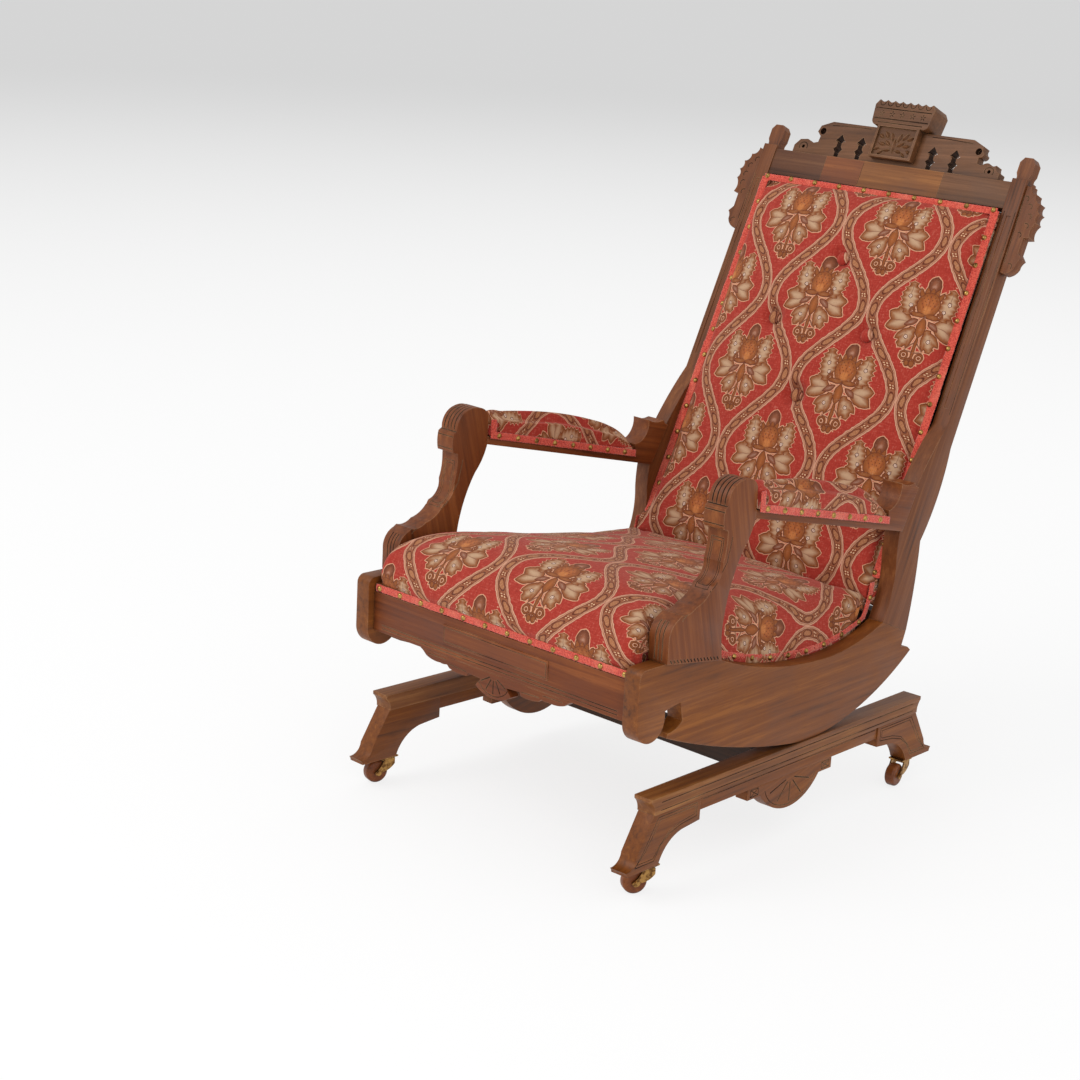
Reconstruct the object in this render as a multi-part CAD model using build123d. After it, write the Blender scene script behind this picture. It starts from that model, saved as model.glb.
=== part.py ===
from build123d import *
import math
import os

# A Victorian platform rocker: a walnut chair on two rockers that roll on a low platform with casters.
# Millimetres. X runs across the chair, Y from front to rear, Z up. The floor is at Z = 0.
# The two side frames stand in upright planes that close in a little towards the rear.

# ---- platform -----------------------------------------------------------------------------------
platform_height = 160.0     # floor to the top of the caps that the rockers roll on
cap_length = 734.0
cap_height = 28.0
cap_width = 36.0
cap_end_hollow = 9.0        # how far the moulded end of a cap runs in below its nose
side_spread = 286.0         # middle of the chair to the middle of a side frame, at Y = 0
toe_in = 1.7                # degrees that each side frame closes in towards the rear
rail_thickness = 28.0       # the upright board below a cap
rail_depth = 22.0
foot_beyond = 47.0          # end of a cap to the toe of the foot below it
foot_sole = 74.0
foot_joint = 124.0          # end of a cap back to where the foot meets the rail
foot_floor_gap = 46.0       # floor to the sole of a foot
foot_bracket_drop = 15.0
foot_thickness = 32.0
pendant_radius = 80.0       # half width of the round fan below the middle of each rail
pendant_drop = 60.0
block_width = 35.0
block_drop = 20.0
pendant_thickness = 24.0
stretcher_place = 50.0      # Y of the middle of the front cross stretcher
stretcher_thickness = 22.0
stretcher_height = 41.0

# ---- casters ------------------------------------------------------------------------------------
wheel_diameter = 40.0
wheel_width = 18.0
wheel_bore = 6.4
axle_diameter = 6.0
caster_trail = 20.0
caster_back = 66.0          # toe of a foot back to the swivel stem
stem_diameter = 8.0
stem_length = 22.0
socket_tube = 11.0
socket_size = 30.0
socket_thickness = 2.5
horn_gap = 2.0              # clearance beside the wheel
horn_plate = 2.5
caster_turn = {"front_left": -30.0, "rear_left": 6.0, "front_right": 14.0, "rear_right": -22.0}

# ---- rocking ------------------------------------------------------------------------------------
contact_y = 40.0            # where the rockers touch the platform at rest
roll_radius = 382.0         # radius of the rolling part of a rocker, up to the axis
roll_half_angle = 9.0       # degrees of that part to each side
roll_gap = 0.1              # clearance between rocker and cap at rest

# ---- side frames, in the plane of the side: Y and Z ----------------------------------------------
frame_thickness = 30.0
side_front = -412.0
drop_width = 65.0
drop_low = 254.0
notch_width = 36.0
notch_top = 301.0
tip_front = -339.0
tip_height = 8.0
rear_tip_y = 322.0
rear_tip_z = 254.0
seat_line_front = 374.0     # top of the side board at the arm post
seat_line_rear = 353.0
side_sag_z = 294.0          # lowest point of the upper edge
side_sag_y = 50.0
stile_foot_y = 228.0        # front corner of the seam between side board and stile
stile_foot_z = 322.0
stile_foot_depth = 74.0

# ---- arms ---------------------------------------------------------------------------------------
arm_front = -162.0          # Y of the joint between arm rail and arm post
arm_rear = 254.0
arm_level = 533.0           # underside of the arm at Y = 0
arm_slope = 0.22            # fall towards the rear
arm_width = 39.0            # the arms stand a little proud of both faces of the side frames
arm_thickness = 14.0        # wood that shows below the padding
arm_tongue = 14.0           # height of the wood inside the padding
arm_tongue_width = 31.0
arm_scroll_start = 208.0
arm_scroll_rise = 46.0
post_front = -355.0
post_rear = -221.0
post_top = 636.0
post_depth = 75.0           # front to rear at the top
arm_pad_crown = 31.0
arm_pad_overhang = 2.0

# ---- back, measured up the slope from the arm ----------------------------------------------------
back_y = 295.0
back_z = 471.0
back_lean = 23.7            # degrees from upright
stile_depth = 33.0
stile_top = 627.0
top_rail_drop = 7.0         # top of the stiles to the top of the rail between them
top_rail_height = 48.0
top_rail_thickness = 28.0
outside_panel = 4.0         # thickness of the board behind the padding
lower_rail_low = -110.0
lower_rail_height = 42.0
lower_rail_thickness = 20.0
crest_half = 222.0
crest_height = 66.0
crest_thickness = 20.0
crest_block_half = 61.0
crest_block_height = 118.0
crest_block_thickness = 46.0
crest_block_front = 9.0     # the block stands this far in front of the stiles
crest_setback = 6.0
ear_drop = 174.0            # top of the stiles down to the foot of the ears
ear_thickness = 20.0
ear_setback = 4.0
finial_size = 30.0
finial_neck = 24.0
finial_height = 40.0

# ---- seat ---------------------------------------------------------------------------------------
front_rail_thickness = 26.0
front_rail_low = 283.0
front_rail_high = 350.0
rail_rabbet = 3.0           # step in the top of the front rail that the cover and braid fill
rail_setback = 12.0         # the front rail stands this far behind the drops
apron_half = 169.0
apron_thickness = 18.0
fan_half = 40.0
fan_level = 254.0
fan_drop = 12.5
rear_rail_y = 236.0
rear_rail_thickness = 24.0
rear_rail_low = 292.0
rear_rail_high = 334.0
webbing_width = 50.0
webbing_thickness = 2.0
webbing_level = 288.0
seat_rear = 235.0
seat_crown = 160.0          # webbing to the top of the seat
pad_gap = 2.2               # clearance between padding and wood
spring_pocket = 78.0
seat_spring_radius = 32.0
seat_spring_wire = 4.0
seat_spring_pitch = 14.0
seat_spring_turns = 4
back_pad_low = -128.0
back_pad_recess = 20.0
back_pad_edge = 8.0
back_pad_crown = 50.0
button_diameter = 20.0
button_places = [(0, 428), (-101, 302), (101, 302), (0, 174)]

# ---- trimmings ----------------------------------------------------------------------------------
gimp_width = 13.0
gimp_thickness = 1.6
gimp_foot = -95.0           # lower end of the braid down the sides of the back
nail_head = 10.0
nail_height = 4.0
nail_shank = 2.0
nail_length = 9.0
nail_pitch = 50.0
arm_nail_pitch = 45.0

# ---- centring springs under the seat -------------------------------------------------------------
spring_radius = 15.0
spring_wire = 5.0
spring_pitch = 11.0
spring_turns = 7
spring_place = 46.0         # Y from the contact line to each spring
spring_inset = 40.0         # from the middle of the side frame to the spring
bracket_plate = 4.0
cup_depth = 15.0
cup_bore = 50.0
cup_wall = 3.0

os.makedirs("parts", exist_ok=True)

lean = math.radians(back_lean)
back_braid = back_pad_edge + 0.1
arm_pad_side = arm_width / 2 + arm_pad_overhang + 1.6
axis_z = platform_height + roll_radius
half_frame = frame_thickness / 2
top_rail_high = stile_top - top_rail_drop
top_rail_low = top_rail_high - top_rail_height
ear_low = stile_top - ear_drop
cap_low = platform_height - cap_height
rail_low = cap_low - rail_depth
foot_reach = cap_length / 2 + foot_beyond
foot_inner = cap_length / 2 - foot_joint
caster_place = foot_reach - caster_back
parts = {}


# ---- drawing helpers -----------------------------------------------------------------------------
def outline(*steps):
    """A closed face; a step is (a, b) for a straight run or (a, b, bulge) for an arc to that point."""
    edges = []
    here = steps[0][:2]
    for step in steps[1:] + (steps[0][:2],):
        there = step[:2]
        gap = math.dist(here, there)
        if gap > 1e-6 and len(step) == 3:
            side = step[2] / gap
            middle = ((here[0] + there[0]) / 2 - (there[1] - here[1]) * side,
                      (here[1] + there[1]) / 2 + (there[0] - here[0]) * side)
            edges.append(ThreePointArc(here, middle, there))
        elif gap > 1e-6:
            edges.append(Line(here, there))
        here = there
    return Face(Wire(edges))


def plate(face, thickness):
    """A board of that thickness, half of it to each side of the drawing."""
    return extrude(face, thickness / 2, dir=(0, 0, 1), both=True)


def on_side(shape, shift=0.0):
    """Carries a drawing (Y, Z, outward) into the left side plane."""
    upright = Plane(origin=(0, 0, 0), x_dir=(0, 1, 0), z_dir=(1, 0, 0)).location
    return Pos(side_spread, 0, 0) * Rot(0, 0, toe_in) * Pos(shift, 0, 0) * upright * shape


def on_left(shape):
    """Carries a shape drawn about the middle of a side frame to the left side."""
    return Pos(side_spread, 0, 0) * Rot(0, 0, toe_in) * shape


def on_right(shape):
    return mirror(shape, about=Plane.YZ)


def on_back(shape, forward=0.0):
    """Carries a drawing (across, up the slope, forward) into the plane of the back."""
    facing = (0, -math.cos(lean), math.sin(lean))
    plane = Plane(origin=(0, back_y, back_z), x_dir=(1, 0, 0), z_dir=facing)
    return plane.location * Pos(0, 0, forward) * shape


def back_point(up, forward=0.0):
    y = back_y + up * math.sin(lean) - forward * math.cos(lean)
    z = back_z + up * math.cos(lean) + forward * math.sin(lean)
    return (y, z)


def inner_face(y):
    """Half the clear width between the side frames at Y."""
    angle = math.radians(toe_in)
    return side_spread - half_frame / math.cos(angle) - y * math.tan(angle)


def box(x0, x1, y0, y1, z0, z1):
    return Pos((x0 + x1) / 2, (y0 + y1) / 2, (z0 + z1) / 2) * Box(x1 - x0, y1 - y0, z1 - z0)


def both_sides(name, shape):
    parts[name + "_left"] = shape
    parts[name + "_right"] = on_right(shape)


def helix(radius, wire, pitch, turns):
    """An upright spring from Z = 0: one tube swept along half-turn arcs."""
    middle = math.hypot(radius, pitch / 4)
    edges = []
    for half in range(2 * turns):
        way = 1 if half % 2 == 0 else -1
        low = half * pitch / 2
        edges.append(ThreePointArc((way * radius, 0, low), (0, way * middle, low + pitch / 4),
                                   (-way * radius, 0, low + pitch / 2)))
    path = Wire(edges)
    end = Plane(origin=path @ 0, z_dir=path % 0)
    print("spring wire", wire, "least gap between turns", round(pitch - wire, 2))
    return sweep(end * Circle(wire / 2), path=path)


# ---- platform ------------------------------------------------------------------------------------
def make_cap():
    half = cap_length / 2
    foot = half - cap_end_hollow
    face = outline((-half, platform_height), (-half, platform_height - 6), (-foot, cap_low, 3),
                   (foot, cap_low), (half, platform_height - 6, 3), (half, platform_height))
    return on_side(plate(face, cap_width))


def make_rail():
    face = outline((-foot_inner, cap_low), (-foot_inner, rail_low), (foot_inner, rail_low),
                   (foot_inner, cap_low))
    return on_side(plate(face, rail_thickness))


def make_foot(end):
    """end is -1 for the front foot and 1 for the rear one."""
    neck = cap_length / 2 - cap_end_hollow
    heel = foot_reach - foot_sole
    bracket = rail_low - foot_bracket_drop
    steps = ((foot_inner, cap_low), (foot_inner, bracket), (foot_inner + 42, bracket - 4),
             (heel, foot_floor_gap, 10 * end), (foot_reach, foot_floor_gap),
             (foot_reach + 4, foot_floor_gap + 8, 1 * end), (foot_reach - 21, foot_floor_gap + 28, 7 * end),
             (neck, cap_low))
    face = outline(*[(end * step[0],) + step[1:] for step in steps])
    bore = Cylinder(socket_tube / 2, stem_length)
    bore = Pos(0, end * caster_place, foot_floor_gap + stem_length / 2) * bore
    return on_side(plate(face, foot_thickness)) - on_left(bore)


def make_pendant():
    low = rail_low - block_drop
    outer = pendant_radius + block_width
    face = outline((-outer, rail_low), (-outer, low), (-pendant_radius, low),
                   (pendant_radius, low, -(pendant_drop - block_drop)), (outer, low), (outer, rail_low))
    return on_side(plate(face, pendant_thickness))


def make_stretcher(place):
    top = rail_low + stretcher_height + 3
    reach = side_spread - rail_thickness / 2 - abs(place) * math.tan(math.radians(toe_in))
    bar = box(-reach, reach, place - stretcher_thickness / 2, place + stretcher_thickness / 2,
              rail_low + 3, cap_low)
    cap_reach = side_spread - cap_width / 2 - abs(place) * math.tan(math.radians(toe_in))
    head = box(-cap_reach, cap_reach, place - stretcher_thickness / 2,
               place + stretcher_thickness / 2, cap_low, top)
    trim = on_left(box(-rail_thickness / 2, side_spread, -cap_length, cap_length, 0, cap_low))
    trim += on_left(box(-cap_width / 2, side_spread, -cap_length, cap_length, cap_low, axis_z))
    return bar + head - trim - on_right(trim)


def make_base_screws():
    """Two wood screws up through each end of both rails into the caps, heads in the undersides."""
    screws = []
    for y in (-150.0, 150.0):
        shaft = Pos(0, y, cap_low + 4) * Cylinder(2.2, 24)
        head = Pos(0, y, rail_low + 4) * Cylinder(4.5, 4)
        stem = Pos(0, y, (rail_low + cap_low) / 2 + 2) * Cylinder(2.2, rail_depth)
        screw = on_left(shaft + head + stem)
        screws += [screw, on_right(screw)]
    return screws


# ---- casters -------------------------------------------------------------------------------------
def caster_pieces(corner, end):
    """Socket, horn, axle and wheel about the stem at the origin, trailing towards -Y before the turn."""
    sole = foot_floor_gap
    radius = wheel_diameter / 2
    socket = Pos(0, 0, sole - socket_thickness / 2) * Box(socket_size - 2, socket_size, socket_thickness)
    socket += Pos(0, 0, sole + stem_length / 2) * Cylinder(socket_tube / 2, stem_length)
    hole = Pos(0, 0, sole + stem_length / 2 - 3) * Cylinder(stem_diameter / 2 + 0.2, stem_length)
    socket -= hole
    top = sole - socket_thickness - 0.4
    cheek = wheel_width / 2 + horn_gap
    stem = Pos(0, 0, top + (stem_length - 5) / 2) * Cylinder(stem_diameter / 2, stem_length - 5)
    crown = Pos(0, 0, top - horn_plate / 2) * Box(2 * (cheek + horn_plate), 20, horn_plate)
    under = top - horn_plate
    fork = outline((10, under), (-10, under), (-caster_trail - 6.5, radius, 2),
                   (-caster_trail + 6.5, radius, -6), (10, under - 7, -3))
    slab = Plane(origin=(0, 0, 0), x_dir=(0, 1, 0), z_dir=(1, 0, 0)).location * plate(fork, horn_plate)
    side = cheek + horn_plate / 2
    horn = stem + crown + Pos(side, 0, 0) * slab + Pos(-side, 0, 0) * slab
    lie = Pos(0, -caster_trail, radius) * Rot(0, 90, 0)
    horn -= lie * Cylinder(axle_diameter / 2, 4 * cheek)
    axle = lie * Cylinder(axle_diameter / 2, 2 * (cheek + horn_plate) + 3)
    wheel = lie * fillet(Cylinder(radius, wheel_width).edges(), 5)
    wheel -= lie * Cylinder(wheel_bore / 2, wheel_width)
    place = Pos(0, end * caster_place, 0)
    turned = Rot(0, 0, caster_turn[corner])
    shapes = {"socket": on_left(place * socket)}
    for name, shape in (("horn", horn), ("axle", axle), ("wheel", wheel)):
        shapes[name] = on_left(place * turned * shape)
    return shapes


def make_casters():
    sockets = []
    for side in ("left", "right"):
        for end_name, end in (("front", -1), ("rear", 1)):
            corner = end_name + "_" + side
            shapes = caster_pieces(corner, end)
            if side == "right":
                shapes = {name: on_right(shape) for name, shape in shapes.items()}
            sockets.append(shapes["socket"])
            for name in ("horn", "axle", "wheel"):
                parts["caster_" + name + "_" + corner] = shapes[name]
    return sockets


# ---- side frames ---------------------------------------------------------------------------------
def arm_under(y):
    return arm_level - arm_slope * y


stile_foot_rear = (stile_foot_y + stile_foot_depth, stile_foot_z - 30)
arm_seat_low = (arm_rear, arm_under(arm_rear))
arm_seat_high = (arm_rear + 38, arm_under(arm_rear) + 70)


def make_side_board():
    """The rocker board: front drop with its notch, rolling edge, rear tip and hollow upper edge."""
    drop_rear = side_front + drop_width
    end = math.radians(roll_half_angle)
    floor = platform_height + roll_gap
    roll_y = roll_radius * math.sin(end)
    roll_z = floor + roll_radius * (1 - math.cos(end))
    front_roll = (contact_y - roll_y, roll_z)
    rear_roll = (contact_y + roll_y, roll_z)
    edges = [
        Line((post_front, seat_line_front), (side_front + 14, seat_line_front)),
        ThreePointArc((side_front + 14, seat_line_front), (side_front + 4, seat_line_front - 4),
                      (side_front, seat_line_front - 14)),
        Line((side_front, seat_line_front - 14), (side_front, drop_low + drop_width / 2)),
        ThreePointArc((side_front, drop_low + drop_width / 2),
                      (side_front + drop_width / 2, drop_low),
                      (drop_rear, drop_low + drop_width / 2)),
        Line((drop_rear, drop_low + drop_width / 2), (drop_rear, notch_top - 3)),
        Line((drop_rear, notch_top - 3), (drop_rear + notch_width, notch_top + 3)),
        Line((drop_rear + notch_width, notch_top + 3), (drop_rear + notch_width + 8, notch_top - 28)),
    ]
    tip_low = (tip_front, 252.0)
    tip_high = (tip_front + 2, tip_low[1] + tip_height)
    notch_foot = (drop_rear + notch_width + 8, notch_top - 28)
    edges.append(ThreePointArc(notch_foot, ((notch_foot[0] + tip_high[0]) / 2 + 3,
                                            (notch_foot[1] + tip_high[1]) / 2 - 3), tip_high))
    edges.append(Line(tip_high, tip_low))
    slope = (math.cos(end), math.sin(end))
    edges.append(TangentArc(front_roll, tip_low, tangent=(-slope[0], slope[1])))
    edges.append(ThreePointArc(front_roll, (contact_y, floor), rear_roll))
    edges.append(TangentArc(rear_roll, (rear_tip_y, rear_tip_z), tangent=slope))
    back_heel = (stile_foot_rear[0] - 10, rear_tip_z + 12)
    edges += [
        Line((rear_tip_y, rear_tip_z), (rear_tip_y - 9, rear_tip_z + 7)),
        Line((rear_tip_y - 9, rear_tip_z + 7), back_heel),
        Line(back_heel, stile_foot_rear),
        Line(stile_foot_rear, (stile_foot_y, stile_foot_z)),
        ThreePointArc((stile_foot_y, stile_foot_z), (side_sag_y + 96, side_sag_z + 5.5),
                      (side_sag_y, side_sag_z)),
        ThreePointArc((side_sag_y, side_sag_z), ((side_sag_y + post_rear) / 2, side_sag_z + 17),
                      (post_rear, seat_line_rear)),
        Line((post_rear, seat_line_rear), (post_front, seat_line_front)),
    ]
    return on_side(plate(Face(Wire(edges)), frame_thickness))


def make_stile():
    top_front = back_point(stile_top)
    top_rear = back_point(stile_top, -stile_depth)
    bend_front = back_point(187)
    bend_rear = back_point(155, -stile_depth)
    knee = (stile_foot_rear[0] + 18, arm_under(arm_rear) - 29)
    waist = (arm_rear - 3, arm_under(arm_rear) - 48)
    face = outline((stile_foot_y, stile_foot_z), stile_foot_rear, knee + (-4,), bend_rear + (-9,),
                   top_rear, top_front, bend_front, arm_seat_high + (-3,), arm_seat_low,
                   waist + (-1,), (stile_foot_y, stile_foot_z, 9))
    return on_side(plate(face, frame_thickness))


def make_arm_post():
    top_y = arm_front - post_depth
    rear_top = arm_under(arm_front)
    face = outline(
        (post_rear, seat_line_rear), (post_front, seat_line_front),
        (post_front, seat_line_front + 34), (post_front + 22, seat_line_front + 68, 7),
        (post_front + 28, seat_line_front + 72), (post_front + 60, seat_line_front + 78, -4),
        (post_front + 98, seat_line_front + 104, -5), (top_y + 2, post_top - 124, -8),
        (top_y + 8, post_top - 84, -2), (top_y + 8, post_top - 76), (top_y - 3, post_top - 72),
        (top_y - 3, post_top - 40, 2), (top_y + 4, post_top - 36), (top_y + 30, post_top - 2, 8),
        (arm_front - 20, post_top - 2, 2), (arm_front, post_top - 18, 4),
        (arm_front, rear_top), (arm_front - 25, rear_top - 45, 3), (post_rear - 3, rear_top - 148, -6),
        (post_rear - 3, seat_line_rear + 20, -2))
    return on_side(plate(face, arm_width))


def make_arm_rail():
    top_front = arm_under(arm_front) + arm_thickness
    slab = outline((arm_front, arm_under(arm_front)), arm_seat_low, arm_seat_high,
                   (arm_rear + 26, arm_seat_high[1] + 10, 2), (arm_scroll_start + 32, arm_seat_high[1] + 15, 4),
                   (arm_scroll_start, arm_under(arm_scroll_start) + arm_thickness + 20, 12),
                   (arm_scroll_start, arm_under(arm_scroll_start) + arm_thickness), (arm_front, top_front))
    tongue = outline((arm_front, top_front), (arm_scroll_start, arm_under(arm_scroll_start) + arm_thickness),
                     (arm_scroll_start, arm_under(arm_scroll_start) + arm_thickness + arm_tongue),
                     (arm_front, top_front + arm_tongue))
    block = outline(arm_seat_low, arm_seat_high, (arm_rear + 60, arm_seat_high[1]),
                    (arm_rear + 60, arm_seat_low[1] - 20), (arm_rear - 4.4, arm_seat_low[1] - 8))
    wood = on_side(plate(slab, arm_width))
    return wood + on_side(plate(tongue, arm_tongue_width)) - on_side(plate(block, 90))


def pad_section(y, half, low, side, crown):
    """Section of a padded arm: flat below, side walls that swell, domed top."""
    edge = half - 3
    edges = [
        Line((-half, low), (half, low)),
        ThreePointArc((half, low), (half + 1.5, low + side / 2), (edge, low + side)),
        ThreePointArc((edge, low + side), (0, low + side + crown), (-edge, low + side)),
        ThreePointArc((-edge, low + side), (-half - 1.5, low + side / 2), (-half, low)),
    ]
    turn = Plane(origin=(0, y, 0), x_dir=(1, 0, 0), z_dir=(0, -1, 0)).location
    return turn * Face(Wire(edges))


def make_arm_pad():
    start = arm_front + pad_gap
    end = arm_scroll_start - pad_gap
    half = arm_width / 2 + arm_pad_overhang
    sections = []
    for share, side, crown in ((0.0, 26, 0.62), (0.2, 33, 0.85), (0.5, 36, 1.0), (0.8, 32, 0.9), (1.0, 20, 0.45)):
        y = start + (end - start) * share
        low = arm_under(y) + arm_thickness + 0.2
        sections.append(pad_section(y, half, low, side * arm_pad_crown / 31, crown * arm_pad_crown * 0.7))
    pad = on_left(loft(sections))
    top_front = arm_under(arm_front) + arm_thickness
    bed = arm_gimp(30.0)
    groove = outline((arm_front - 5, top_front - 5),
                     (arm_scroll_start + 5, arm_under(arm_scroll_start) + arm_thickness - 8),
                     (arm_scroll_start + 5, arm_under(arm_scroll_start + 5) + arm_thickness + arm_tongue + 0.3),
                     (arm_front - 5, arm_under(arm_front - 5) + arm_thickness + arm_tongue + 0.3))
    return pad - bed - on_side(plate(groove, arm_tongue_width + 0.6))


# ---- back ----------------------------------------------------------------------------------------
def back_half_width(up):
    """Half the clear width between the stiles at a place up the back."""
    return inner_face(back_point(up)[0])


def stile_mask():
    """Everything outside the inner faces of the side frames, to trim what stands between them."""
    return on_left(box(-half_frame, 200, -900, 900, -50, 1500))


def between_frames(shape):
    mask = stile_mask()
    return shape - mask - on_right(mask)


def make_top_rail():
    wide = side_spread
    face = outline((-wide, top_rail_low), (wide, top_rail_low), (wide, top_rail_high), (-wide, top_rail_high))
    return between_frames(on_back(plate(face, top_rail_thickness), -top_rail_thickness / 2 - 1))


def piercing(x, up):
    """An arrow cut through the crest board: a pointed head, a barb half way and a square foot."""
    points = [(0, 38), (8, 28), (3, 29), (3, 17), (7, 12), (3, 8), (3, 1)]
    steps = [(x + a, up + b) for a, b in points]
    steps += [(x - a, up + b) for a, b in reversed(points[1:])]
    return outline(*steps)


def make_crest_board():
    low = top_rail_high
    top = low + crest_height
    half = crest_half
    right = [(half, low), (half, low + 14), (half - 10, low + 26, 4), (half - 26, low + 28, 3),
             (half - 40, low + 22, -2), (half - 50, low + 25), (half - 51, low + 36), (half - 42, low + 44, -3),
             (half - 46, low + 56, 3), (half - 70, top)]
    left = [(-a[0], a[1]) for a in reversed(right)]
    face = outline(*right, *left)
    board = plate(face, crest_thickness)
    for x in (-124.0, -77.0, 77.0, 124.0):
        board -= plate(piercing(x, low + 1), 2 * crest_thickness)
    return on_back(board, -crest_thickness / 2 - crest_setback)


def make_crest_block():
    """The carved middle block, whose moulded cap has scallops along its top."""
    low = top_rail_high + 8
    shelf = top_rail_high + crest_height
    top = top_rail_high + crest_block_height
    half = crest_block_half
    count = 7
    step = 2 * (half - 4) / count
    steps = [(-half + 16, low), (half - 16, low), (half - 16, shelf + 2), (half, shelf + 10, -5),
             (half + 3, top - 14), (half - 4, top - 4)]
    for i in range(count):
        steps.append((half - 4 - step * (i + 1), top - 4, 4))
    steps += [(-half - 3, top - 14), (-half, shelf + 10), (-half + 16, shelf + 2, -5)]
    block = plate(outline(*steps), crest_block_thickness)
    back = plate(outline((-half - 5, low - 5), (half + 5, low - 5), (half + 5, shelf + 0.2), (-half - 5, shelf + 0.2)),
                 crest_block_thickness)
    board_face = crest_block_thickness / 2 - crest_block_front - crest_setback
    body = block - Pos(0, 0, board_face - crest_block_thickness / 2) * back
    return on_back(body, crest_block_front - crest_block_thickness / 2)


def make_ear():
    """A scalloped ear on the outer face of a stile, in the plane of the back."""
    inner = -8.0
    high = stile_top
    steps = [(inner, ear_low + 10), (0, ear_low + 10), (10, ear_low + 8), (27, ear_low + 24, -3),
             (33, ear_low + 38, 2), (24, ear_low + 48), (24, ear_low + 74), (36, ear_low + 76)]
    lobes = [(39, 103), (40, 120), (35, 137), (23, 152), (9, 166), (-4, 173)]
    steps += [(x, ear_low + up, 5) for x, up in lobes]
    steps.append((inner, high))
    flat = plate(outline(*steps), ear_thickness)
    outer = side_spread + half_frame - back_point((ear_low + high) / 2)[0] * math.tan(math.radians(toe_in))
    ear = on_back(Pos(outer, 0, 0) * flat, -ear_thickness / 2 - ear_setback)
    return ear - on_left(box(-100, half_frame, -900, 900, -50, 1500))


def make_finial():
    """A block with splayed sides on a short neck, at the head of a stile."""
    neck = finial_neck / 2
    half = finial_size / 2
    foot_z = 0.0
    face = outline((-neck, foot_z), (neck, foot_z), (neck, 5), (half, 12), (half, finial_height - 9),
                   (half - 7, finial_height), (-half + 7, finial_height), (-half, finial_height - 9),
                   (-half, 12), (-neck, 5))
    body = plate(face, finial_size - 10)
    centre = back_point(stile_top, -stile_depth / 2)
    x = side_spread / math.cos(math.radians(toe_in)) - centre[0] * math.tan(math.radians(toe_in))
    stand = on_back(Pos(0, 0.1, 0) * body, -stile_depth / 2)
    return Pos(x, stile_top * math.sin(lean), stile_top * math.cos(lean)) * stand


def make_outside_back():
    wide = side_spread
    low = back_pad_low + 14
    face = outline((-wide, low), (wide, low), (wide, top_rail_low), (-wide, top_rail_low))
    return between_frames(on_back(plate(face, outside_panel), -stile_depth + outside_panel / 2))


def make_lower_back_rail():
    wide = side_spread
    high = lower_rail_low + lower_rail_height
    face = outline((-wide, lower_rail_low), (wide, lower_rail_low), (wide, high), (-wide, high))
    middle = -stile_depth + outside_panel + 0.1 + lower_rail_thickness / 2
    return between_frames(on_back(plate(face, lower_rail_thickness), middle))


# ---- seat ----------------------------------------------------------------------------------------
def make_front_rail():
    y = side_front + rail_setback
    rail = box(-side_spread - 20, side_spread + 20, y, y + front_rail_thickness, front_rail_low, front_rail_high)
    rail += box(-side_spread - 20, side_spread + 20, y + rail_rabbet, y + front_rail_thickness,
                front_rail_high, front_rail_high + gimp_width)
    rail += box(-117, 117, y - 2.0, y, front_rail_low + 21, front_rail_low + 53)
    return between_frames(rail)


def make_apron():
    """The scalloped board below the front rail, with a round fan in the middle."""
    high = front_rail_low - 0.1
    right = [(fan_half, fan_level), (29, high - 16), (58, high - 14), (60, high - 20), (100, high - 18, -2),
             (106, high - 13), (122, high - 14, -1), (154, high - 10, -2), (163, high - 3),
             (apron_half, high)]
    left = [(-right[-1][0], right[-1][1])]
    for after, step in zip(reversed(right[1:]), reversed(right[:-1])):
        left.append((-step[0], step[1]) + after[2:])
    face = outline(*right, *left, (fan_half, fan_level, -fan_drop))
    y = side_front + rail_setback + apron_thickness / 2
    stand = Plane(origin=(0, y, 0), x_dir=(1, 0, 0), z_dir=(0, -1, 0)).location
    return stand * plate(face, apron_thickness)


def make_rear_rail():
    return between_frames(box(-side_spread - 20, side_spread + 20, rear_rail_y,
                              rear_rail_y + rear_rail_thickness, rear_rail_low, rear_rail_high))


def make_webbing():
    """Jute straps under the seat springs: lengthwise ones, and crosswise ones just above them."""
    straps = []
    front = side_front + rail_setback + front_rail_thickness + pad_gap
    count = 4
    pitch = 2 * (side_spread - 70) / (count - 1)
    for i in range(count):
        x = -(side_spread - 70) + pitch * i
        straps.append(box(x - webbing_width / 2, x + webbing_width / 2, front, rear_rail_y - pad_gap,
                          webbing_level - webbing_thickness, webbing_level))
    cross = [front + 55, front + 205, front + 355, front + 505]
    for y in cross:
        straps.append(between_frames(box(-side_spread, side_spread, y - webbing_width / 2, y + webbing_width / 2,
                                         webbing_level + 0.2, webbing_level + 0.2 + webbing_thickness)))
    return straps


def seat_section(y, half, height, crown):
    """Section of the seat across the chair: flat below, swelling walls, low dome above."""
    low = webbing_level + webbing_thickness + 1
    wall = height - crown
    edge = half - 14
    edges = [
        Line((-half, low), (half, low)),
        Line((half, low), (half, low + wall * 0.55)),
        ThreePointArc((half, low + wall * 0.55), (half - 3.5, low + wall * 0.85), (edge, low + wall)),
        ThreePointArc((edge, low + wall), (0, low + height), (-edge, low + wall)),
        ThreePointArc((-edge, low + wall), (-half + 3.5, low + wall * 0.85), (-half, low + wall * 0.55)),
        Line((-half, low + wall * 0.55), (-half, low)),
    ]
    turn = Plane(origin=(0, y, 0), x_dir=(1, 0, 0), z_dir=(0, -1, 0)).location
    return turn * Face(Wire(edges))


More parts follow.
